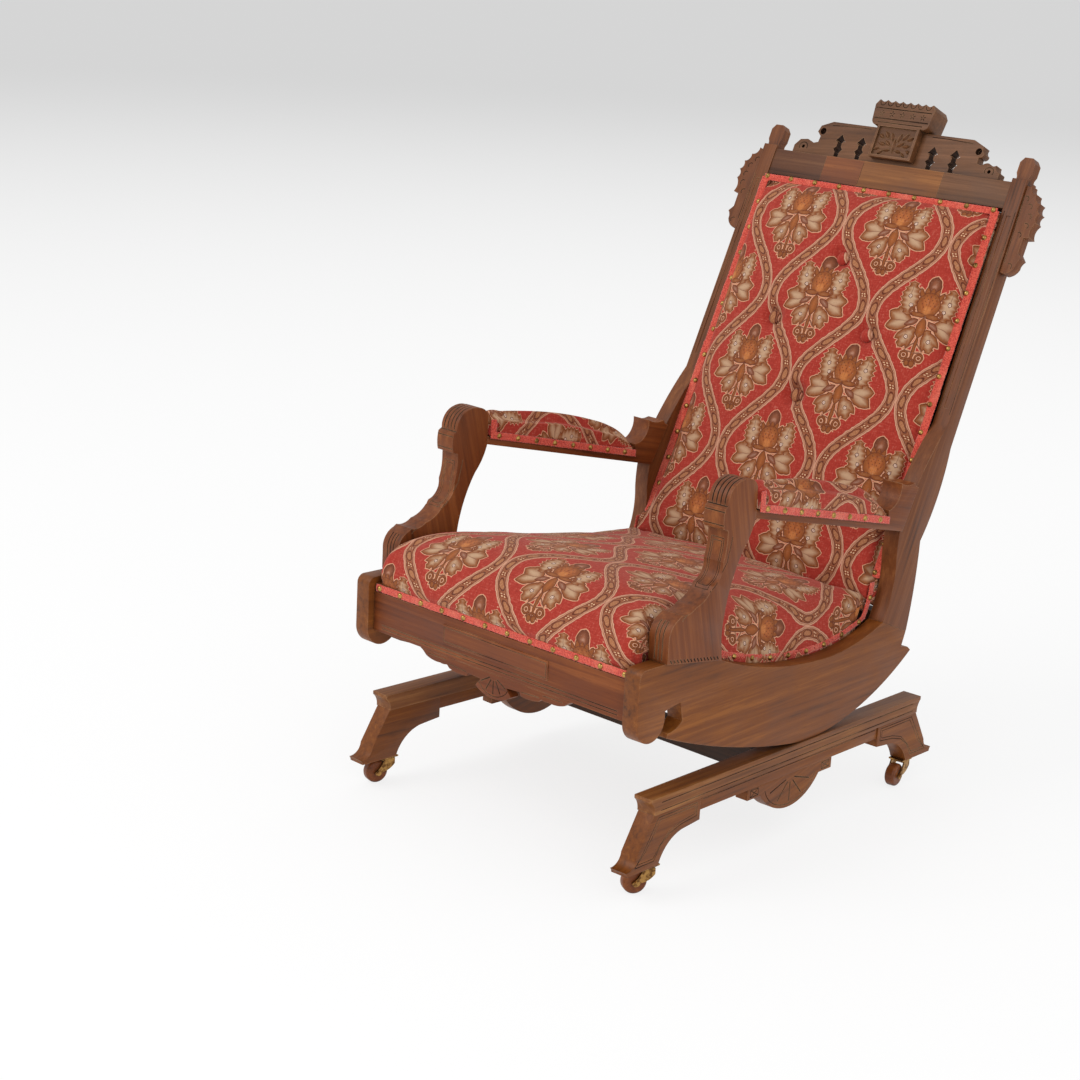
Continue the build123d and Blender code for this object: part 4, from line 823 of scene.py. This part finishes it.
def carve_platform(way, side):
    """Lines along the cap and rail, panels on the feet, and a fan of five rays between square blocks."""
    carry = on_side(way)
    widths = ((151, 1.6), (138, 1.4))
    inward = -way * Vector((math.cos(TOE_IN), way * math.sin(TOE_IN), 0))
    lines = [(bar(carry, (18, -344, z), (18, 344, z)), inward, width, 1.0) for z, width in widths]
    carve(f"base_cap_{side}", "platform", lines)
    lines = [(bar(carry, (14, -236, 127), (14, 236, 127)), inward, 1.4, 1.0)]
    carve(f"base_rail_{side}", "platform", lines)
    lines = []
    for turn in (-68, -34, 0, 34, 68):
        a = math.radians(turn)
        lines.append((bar(carry, (12, 12 * math.sin(a), 104 - 10 * math.cos(a)),
                          (12, 58 * math.sin(a), 104 - 44 * math.cos(a))), inward, 2.4, 1.5))
    rim = [(70 * math.sin(a), 106 - 50 * math.cos(a)) for a in np.linspace(-1.35, 1.35, 22)]
    lines.append((bar(carry, *((12, y, z) for y, z in rim)), inward, 1.4, 1.0))
    for end in (-1, 1):
        y0, y1 = end * 87, end * 108
        for a, b in (((y0, 94), (y1, 94)), ((y1, 94), (y1, 106)), ((y1, 106), (y0, 106)), ((y0, 106), (y0, 94)),
                     ((y0, 94), (y1, 106)), ((y1, 94), (y0, 106))):
            lines.append((bar(carry, (12, *a), (12, *b)), inward, 1.4, 1.0))
    carve(f"base_pendant_{side}", "platform", lines)
    for end, word in ((-1, "front"), (1, "rear")):
        lines = []
        for inset, width in ((0, 1.5), (4.5, 1.2)):
            path = [(252 + inset, 126 - inset), (346 - inset, 126 - inset), (378 - inset, 78 - inset * 0.2),
                    (397 - inset, 56 + inset), (352 + inset * 0.4, 56 + inset), (338 + inset * 0.4, 78),
                    (318, 92 + inset), (290, 100 + inset), (252 + inset, 104 + inset),
                    (252 + inset, 126 - inset)]
            lines += [(bar(carry, (16, end * p[0], p[1]), (16, end * q[0], q[1])), inward, width, 1.0)
                      for p, q in zip(path, path[1:])]
        carve(f"base_foot_{word}_{side}", "platform", lines)


# ---- upholstery ----------------------------------------------------------------------------------
def resample(points, count):
    """Points at equal steps along a smooth line through the ones given, with the arc length of each."""
    points = np.array(points, float)
    chord = np.r_[0, np.cumsum(np.hypot(*np.diff(points, axis=0).T))]
    fine = np.linspace(0, chord[-1], 600)
    line = np.stack([curve_through(list(zip(chord, points[:, k])), fine) for k in (0, 1)], 1)
    arc = np.r_[0, np.cumsum(np.hypot(*np.diff(line, axis=0).T))]
    even = np.linspace(0, arc[-1], count)
    return np.stack([np.interp(even, arc, line[:, k]) for k in (0, 1)], 1), even


def half_section(half, drop, corner, wall, counts, tuck=None):
    """From the middle of a pad to its hem: (across, below the crown, arc length), a low dome, a round
    corner, a side wall, and a strip of that width tucked under the braid."""
    dome, bend, fall = counts
    flat = half - corner
    x = np.linspace(0, flat, dome + 1)
    line = [(a, drop * (a / flat) ** 2) for a in x]
    start = math.atan2(2 * drop, flat)
    for k in range(1, bend + 1):
        angle = start + (math.pi / 2 - start) * k / bend
        line.append((flat + corner * (math.sin(angle) - math.sin(start)) / (1 - math.sin(start)),
                     drop + corner * (math.cos(start) - math.cos(angle))))
    base = line[-1][1]
    line += [(half, base + wall * k / fall) for k in range(1, fall + 1)]
    if tuck is not None:
        line += [(half + tuck * k / 3, base + wall) for k in (1, 2, 3)]
        line += [(half + tuck, base + wall + 1.0), (half + tuck, base + wall + 24.0)]
    line = np.array(line)
    arc = np.r_[0, np.cumsum(np.hypot(*np.diff(line, axis=0).T))]
    return np.c_[line, arc]


def pad_sheet(name, profile, half, drop, corner, wall, carry, rows, counts, origin, tuck=None):
    """A padded cover as a grid: its long profile, a section at every row, and the cloth's own
    coordinates in metres as its UV map. origin is the place of a motif's middle on the cloth."""
    points, arc = resample(profile, rows)
    tangent = np.gradient(points, axis=0)
    tangent /= np.hypot(*tangent.T)[:, None]
    out = np.stack([-tangent[:, 1], tangent[:, 0]], 1)
    made = bpy.data.meshes.new(name)
    grid, cloth = [], []
    for j, (p, q) in enumerate(points):
        share = arc[j] / arc[-1]
        section = half_section(half(p, share), drop(share), corner(share), wall(share, q), counts,
                               tuck and tuck(p))
        full = [(-a, d, -s) for a, d, s in section[:0:-1]] + [tuple(s) for s in section]
        for a, d, s in full:
            grid.append(carry(a, p - out[j, 0] * d, q - out[j, 1] * d))
            cloth.append(((s - origin[0]) / 1000, (arc[j] - origin[1]) / 1000))
    wide = len(full)
    faces = []
    for j in range(rows - 1):
        for i in range(wide - 1):
            a = j * wide + i
            faces.append((a, a + 1, a + wide + 1, a + wide))
    made.from_pydata(grid, [], faces)
    layer = made.uv_layers.new(name="cloth")
    for loop in made.loops:
        layer.data[loop.index].uv = cloth[loop.vertex_index]
    made.polygons.foreach_set("use_smooth", [True] * len(faces))
    made.materials.append(cover)
    pad = add_object(name, made)
    pad["wide"] = wide
    return pad


def border(pad):
    """Which points lie on the hem of a pad, whose rows are pad["wide"] points each."""
    wide = pad["wide"]
    count = len(pad.data.vertices)
    index = np.arange(count)
    return (index % wide < 1) | (index % wide >= wide - 1) | (index < wide) | (index >= count - wide)


def points_of(mesh):
    """The places of a mesh's vertices, a row each."""
    co = np.zeros(len(mesh.vertices) * 3)
    mesh.vertices.foreach_get("co", co)
    return co.reshape(-1, 3)


def set_points(mesh, co):
    mesh.vertices.foreach_set("co", co.ravel())
    mesh.update()


def stuff(pad, cap, pressure=4.0, frames=20):
    """Fills the cover: cloth under pressure, held along its hem, with no point moving further than cap."""
    rest = points_of(pad.data)
    held = pad.vertex_groups.new(name="hem")
    held.add([int(i) for i in np.flatnonzero(border(pad))], 1.0, "REPLACE")
    cloth = pad.modifiers.new("cloth", "CLOTH")
    settings = cloth.settings
    settings.vertex_group_mass = "hem"
    settings.quality = 5
    settings.mass = 0.4
    settings.tension_stiffness = settings.compression_stiffness = 40
    settings.shear_stiffness = 20
    settings.bending_stiffness = 2.0
    settings.use_pressure = True
    settings.uniform_pressure_force = pressure
    settings.effector_weights.gravity = 0
    scene = bpy.context.scene
    for step in range(1, frames + 1):
        scene.frame_set(step)
    swollen = pad.evaluated_get(bpy.context.evaluated_depsgraph_get())
    co = points_of(swollen.to_mesh())
    pad.modifiers.remove(cloth)
    scene.frame_set(1)
    move = co - rest
    far = np.linalg.norm(move, axis=1)
    limit = cap * np.tanh(far / cap) / np.maximum(far, 1e-9)
    set_points(pad.data, rest + move * limit[:, None])


def close_hem(pad):
    """Closes the cover underneath with a flat panel, so that it is a whole cushion."""
    work = bmesh.new()
    work.from_mesh(pad.data)
    rim = [e for e in work.edges if e.is_boundary]
    bmesh.ops.holes_fill(work, edges=rim)
    bmesh.ops.triangulate(work, faces=[f for f in work.faces if len(f.verts) > 4])
    bmesh.ops.recalc_face_normals(work, faces=work.faces)
    work.to_mesh(pad.data)
    work.free()


def soften(pad):
    """Rounds the facets of a finished cover by one subdivision."""
    part = pad.modifiers.new("smooth cloth", "SUBSURF")
    part.levels = part.render_levels = 1


def make_seat():
    """The seat: a rolled front behind the braid, a crown that falls to the back, sides cut round the posts."""
    profile = [(-396.4, 351), (-396.8, 363), (-401.5, 369), (-405, 381), (-404.5, 397), (-396, 419),
               (-381, 435.5), (-361, 446.5), (-335, 453), (-300, 456), (-240, 452), (-132, 435), (-18, 417),
               (96, 393), (160, 379), (196, 373), (218, 369), (229, 363), (233, 352), (234, 330)]

    def half(y, share):
        post = 1 / (1 + math.exp(-(y + 362) / 4)) - 1 / (1 + math.exp(-(y + 214) / 4))
        return inner_face(max(y, -396.0)) - WALNUT_GAP - 1.6 - 4.8 * post

    drop = varying((0, 3), (0.1, 9), (0.2, 17), (0.4, 23), (0.7, 19), (0.85, 8), (0.94, 3), (1, 1))
    corner = varying((0, 12), (0.1, 17), (0.85, 17), (0.94, 8), (1, 4))
    fall = varying((0, 10), (0.05, 18), (0.11, 60), (0.2, 105), (0.4, 118), (0.6, 112), (0.8, 84),
                   (0.93, 68), (0.965, 30), (1, 8))
    wall = lambda share, q: fall(share)
    pad = pad_sheet("seat_cover", profile, half, drop, corner, wall, hung, 120, (44, 6, 7), (76.0, 124.0))
    stuff(pad, 0.006)
    co = points_of(pad.data)
    # the stuffing is a little uneven under the hand
    for point in co:
        p = Vector(point) * 14
        point[2] += (noise.noise(p) * 1.1 + noise.noise(p * 3.1) * 0.35) / 1000
    # below the top of the braid the cloth stays behind it
    front = (DRAWING_SHIFT - 396.9 - 8.0 * np.clip((co[:, 2] * 1000 - 363.5) / 7, 0, 1) ** 0.7) / 1000
    hidden = co[:, 2] < 0.3705
    co[hidden, 1] = np.maximum(co[hidden, 1], front[hidden])
    set_points(pad.data, co)
    close_hem(pad)
    soften(pad)
    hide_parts("seat_cushion")
    return pad


def make_back():
    """The back: a long low dome drawn in at four buttons, its edge tucked under the braid."""
    profile = [(-142, -8), (-143, 8), (-138, 24), (-120, 34), (-60, 41), (30, 46), (120, 49.5), (220, 50),
               (320, 49), (400, 47), (470, 43), (515, 36), (538, 29), (550, 22), (556.5, 13), (558.5, 7.5),
               (564, 7.0), (568.5, 6.0), (569, -6)]

    def braided(up):
        """0 below the foot of the braid and 1 above it."""
        return min(max((up - BRAID_FOOT) / 8, 0.0), 1.0)

    def half(up, share):
        y = BACK_FOOT[0] + up * math.sin(LEAN)
        return inner_face(y) - WALNUT_GAP - 13.6 * braided(up)

    drop = varying((0, 1), (0.06, 4), (0.12, 10), (0.3, 24), (0.6, 25), (0.8, 22), (0.93, 9), (1, 3))
    corner = varying((0, 3), (0.06, 5), (0.12, 9), (0.8, 9), (0.93, 6), (1, 3))
    wall = lambda share, q: max(q - drop(share) - corner(share) - 7.4, 1.0)
    pad = pad_sheet("back_cover", profile, half, drop, corner, wall, on_back, 128, (44, 5, 4), (-19.0, 523.0),
                    lambda up: 1.2 + 13.8 * braided(up))
    stuff(pad, 0.004)
    co = points_of(pad.data)
    x = co[:, 0] * 1000
    up, high = measured_on_back(co)
    dent = np.zeros(len(co))
    for bx, bu in BUTTONS:
        r = np.hypot(x - bx, up - bu)
        here = high[np.argmin(r)]
        ease = np.clip((r - 13) / 15, 0, 1)
        pull = 0.8 * (1 - ease * ease * (3 - 2 * ease)) + 0.2 * np.exp(-(r / 45) ** 2)
        dent += (here - BUTTON_BED + 3.0) * pull
    # shallow folds from button to button
    for a, b in ((0, 1), (0, 2), (1, 3), (2, 3)):
        ax, au = BUTTONS[a]
        bx, bu = BUTTONS[b]
        t = ((x - ax) * (bx - ax) + (up - au) * (bu - au)) / ((bx - ax) ** 2 + (bu - au) ** 2)
        t = np.clip(t, 0, 1)
        r = np.hypot(x - ax - t * (bx - ax), up - au - t * (bu - au))
        dent += 1.6 * np.exp(-(r / 9) ** 2)
    dent *= np.clip((high - 6) / 12, 0, 1)
    # the strip under the braid stays under it
    room = np.array([inner_face(BACK_FOOT[0] + u * math.sin(LEAN)) - WALNUT_GAP - 13.4 for u in up])
    under = ((np.abs(x) > room) | (up > 557.5)) & (up > -94)
    dent = np.where(under, np.maximum(high - 7.5, 0), dent)
    co += np.array(INTO_BACK) * dent[:, None] / 1000
    set_points(pad.data, co)
    close_hem(pad)
    soften(pad)
    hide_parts("back_cushion")
    return pad


def make_arm(way, side):
    """An arm pad, tall in its rear half, standing on the sloping arm rail."""
    def wood(y):
        return 533.0 - 0.22 * y + 14.0

    a, b = ARM_FRONT, ARM_REAR
    top = ((a + 45, 47), (-70, 52), (23, 57.5), (100, 55), (150, 49), (182, 38), (198, 25), (b, 8))
    profile = [(a, wood(a) + 1), (a, wood(a) + 22), (a + 3, wood(a) + 33), (a + 13, wood(a) + 39.5)]
    profile += [(y, wood(y) + up) for y, up in top] + [(b + 0.5, wood(b) + 1)]
    half = lambda y, share: 23.0
    drop = varying((0, 1), (0.08, 5), (0.2, 13), (0.5, 17), (0.8, 14), (1, 2))
    corner = varying((0, 4), (0.1, 9), (0.5, 15), (0.9, 9), (1, 4))
    fall = varying((0, 3), (0.08, 16), (0.2, 26), (0.5, 28), (0.8, 24), (0.92, 12), (1, 3))
    wall = lambda share, q: fall(share)
    pad = pad_sheet(f"arm_cover_{side}", profile, half, drop, corner, wall, on_side(way), 84, (9, 6, 6),
                    (20.0, 140.0 if way > 0 else 60.0))
    stuff(pad, 0.002)
    close_hem(pad)
    soften(pad)
    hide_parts(f"arm_pad_{side}")
    return pad


def make_gimp():
    """The braid, frayed: the CAD strips as a fine skin whose surface stands up in small tufts."""
    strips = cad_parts["gimp_braid"]
    braid = add_object("gimp_braid_tufted", strips.data.copy())
    fine = braid.modifiers.new("fine", "REMESH")
    fine.mode = "VOXEL"
    fine.voxel_size = 0.0014
    drawn = braid.evaluated_get(bpy.context.evaluated_depsgraph_get())
    mesh = bpy.data.meshes.new_from_object(drawn)
    braid.modifiers.clear()
    braid.data = mesh
    co = points_of(mesh)
    # down the sides of the back it is spread to the stile
    up, high = measured_on_back(co)
    on_sides = (up > BRAID_FOOT) & (up < BRAID_TOP) & (high > 2) & (high < 16) & (np.abs(co[:, 0]) > 0.2)
    for i in np.flatnonzero(on_sides):
        inner = inner_face(BACK_FOOT[0] + up[i] * math.sin(LEAN)) - 0.4 - BRAID_SPREAD
        past = abs(co[i, 0]) * 1000 - inner
        if past > 0:
            co[i, 0] = math.copysign(inner + past * BRAID_SPREAD / BRAID_WIDTH, co[i, 0]) / 1000
    set_points(mesh, co)
    normals = np.zeros(len(mesh.vertices) * 3)
    mesh.vertices.foreach_get("normal", normals)
    normals = normals.reshape(-1, 3)
    lift = np.array([noise.noise(Vector(p) * 520) + 0.6 * noise.noise(Vector(p) * 1100) for p in co])
    set_points(mesh, co + normals * (0.0003 + lift[:, None] * 0.0008))
    mesh.polygons.foreach_set("use_smooth", [True] * len(mesh.polygons))
    mesh.materials.clear()
    mesh.materials.append(gimp_cotton)
    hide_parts("gimp_braid")
    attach(braid, "chair")


def make_buttons():
    """Cloth-covered buttons, each a shallow dome drawn in at its edge."""
    rings, spokes = 7, 28
    points, faces, cloth = [], [], []
    for k, (bx, bu) in enumerate(BUTTONS):
        base = len(points)
        points.append(on_back(bx, bu, BUTTON_BED + 6.0))
        # two are covered in plain ground and two in a piece of the ribbon, as places on the cloth
        middle = ((0.077, 0.02), (0.098, 0.003))[k in (1, 3)]
        cloth.append(middle)
        for i in range(1, rings + 1):
            share = i / rings
            bend = share * math.pi / 2 * BUTTON_BEND
            r = BUTTON_RADIUS * math.sin(bend)
            up = BUTTON_BED - 1.4 + 7.4 * math.cos(bend)
            for j in range(spokes):
                a = 2 * math.pi * j / spokes
                pucker = 1 + 0.03 * math.sin(a * 9) * share
                points.append(on_back(bx + r * pucker * math.cos(a), bu + r * pucker * math.sin(a), up))
                cloth.append((middle[0] + r * math.cos(a) / 1400, middle[1] + r * math.sin(a) / 1400))
        for j in range(spokes):
            here, there = base + 1 + j, base + 1 + (j + 1) % spokes
            faces.append((base, here, there))
            for i in range(rings - 1):
                step = i * spokes
                faces.append((here + step, here + step + spokes, there + step + spokes, there + step))
        faces.append(tuple(base + 1 + (rings - 1) * spokes + j for j in reversed(range(spokes))))
    mesh = bpy.data.meshes.new("back_buttons_covered")
    mesh.from_pydata(points, [], faces)
    layer = mesh.uv_layers.new(name="cloth")
    for loop in mesh.loops:
        layer.data[loop.index].uv = cloth[loop.vertex_index]
    mesh.polygons.foreach_set("use_smooth", [True] * len(mesh.polygons))
    mesh.materials.append(cover)
    made = add_object("back_buttons_covered", mesh)
    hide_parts("back_buttons")
    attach(made, "chair")


pads = (make_seat(), 0.9), (make_back(), 0.85), (make_arm(1, "left"), 0.9), (make_arm(-1, "right"), 0.9)
for pad, fill in pads:
    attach(pad, "chair")
make_gimp()
make_buttons()
for way, side in ((1, "left"), (-1, "right")):
    carve_post(way, side)
    carve_stile(way, side)
    carve_ear(way, side)
    carve_platform(way, side)
    carve(f"side_board_{side}", "chair", easing=1.2)
    carve(f"arm_rail_{side}", "chair")
carve_top_rail()
carve_crest()
carve_block()
carve_rail()
carve_apron()


# ---- camera, light and floor ---------------------------------------------------------------------
def make_camera():
    """The photograph's own view, found from the straight edges of the platform, seat, arms and back."""
    azimuth, elevation, roll = (math.radians(a) for a in (43.184, 15.675, 3.0))
    back = Vector((math.sin(azimuth) * math.cos(elevation), -math.cos(azimuth) * math.cos(elevation),
                   math.sin(elevation)))
    right = Vector((math.cos(azimuth), math.sin(azimuth), 0))
    up = back.cross(right)
    right, up = (right * math.cos(roll) + up * math.sin(roll), up * math.cos(roll) - right * math.sin(roll))
    eye = hung(-81.28, -225.68, 453.79) + back * 3.7878
    camera = add_object("camera", bpy.data.cameras.new("camera"))
    camera.matrix_world = Matrix((right, up, back)).transposed().to_4x4()
    camera.matrix_world.translation = eye
    camera.data.lens = 77.31
    camera.data.sensor_width = 36.0
    camera.data.shift_x = (540 - 538.71) / 1080
    camera.data.shift_y = (540.65 - 540) / 1080
    camera.data.clip_end = 200
    bpy.context.scene.camera = camera


def seen_directly(tree):
    """1 for what the camera, a reflection or a glass sees, and 0 for light that falls on the object."""
    rays = add(tree, "LightPath")
    seen = Field(rays.outputs["Is Camera Ray"]) + Field(rays.outputs["Is Glossy Ray"])
    return seen.by("ADD", rays.outputs["Is Transmission Ray"]).by("MINIMUM", 1.0)


def make_light():
    """A big soft key from the front left, a weaker fill from the right, and a pale even studio round."""
    for name, place, size, power in (("key", (-1.6, -3.2, 3.6), 2.4, 60), ("fill", (3.4, -2.2, 2.2), 2.6, 26)):
        lamp = add_object(name, bpy.data.lights.new(name, "AREA"))
        lamp.data.size = size
        lamp.data.energy = power
        lamp.location = place
        lamp.rotation_euler = (Vector((0, -0.1, 0.5)) - Vector(place)).to_track_quat("-Z", "Y").to_euler()
    world = bpy.data.worlds.new("studio")
    bpy.context.scene.world = world
    world.use_nodes = True
    tree = world.node_tree
    tree.nodes.clear()
    seen = seen_directly(tree)
    shade = seen.dye("#f2f2f2", "#d3d3d3")
    sky = add(tree, "Background", {"Color": shade, "Strength": 0.85})
    plain = add(tree, "Background", {"Color": shade, "Strength": 1.0})
    mix = add(tree, "MixShader", (seen, sky.outputs[0], plain.outputs[0]))
    add(tree, "OutputWorld", (mix.outputs[0],))


def make_floor():
    """White studio sweep, matt paper, greying with distance as the photograph's backdrop does."""
    bpy.ops.mesh.primitive_circle_add(vertices=96, radius=60, fill_type="TRIFAN")
    floor = bpy.context.object
    floor.name = "floor"
    made, tree, shader = material("paper_sweep_white")
    here = add(tree, "SeparateXYZ", (add(tree, "TexCoord").outputs["Object"],))
    x, y = Field(here.outputs[0]), Field(here.outputs[1])
    far = (x * x + y * y).by("SQRT")
    colour = far.step(2.0, 15.0).dye("#ffffff", "#dadada")
    tree.links.new(colour, shader.inputs["Base Color"])
    shader.inputs["Roughness"].default_value = 1.0
    shader.inputs["Specular IOR Level"].default_value = 0.0
    glow = add(tree, "Emission", {"Color": colour, "Strength": 1.0})
    mix = add(tree, "MixShader", (seen_directly(tree) * 0.8, shader.outputs[0], glow.outputs[0]))
    tree.links.new(mix.outputs[0], next(n for n in tree.nodes if n.type == "OUTPUT_MATERIAL").inputs[0])
    floor.data.materials.append(made)


make_camera()
make_light()
make_floor()
bpy.context.scene.view_settings.view_transform = "Standard"
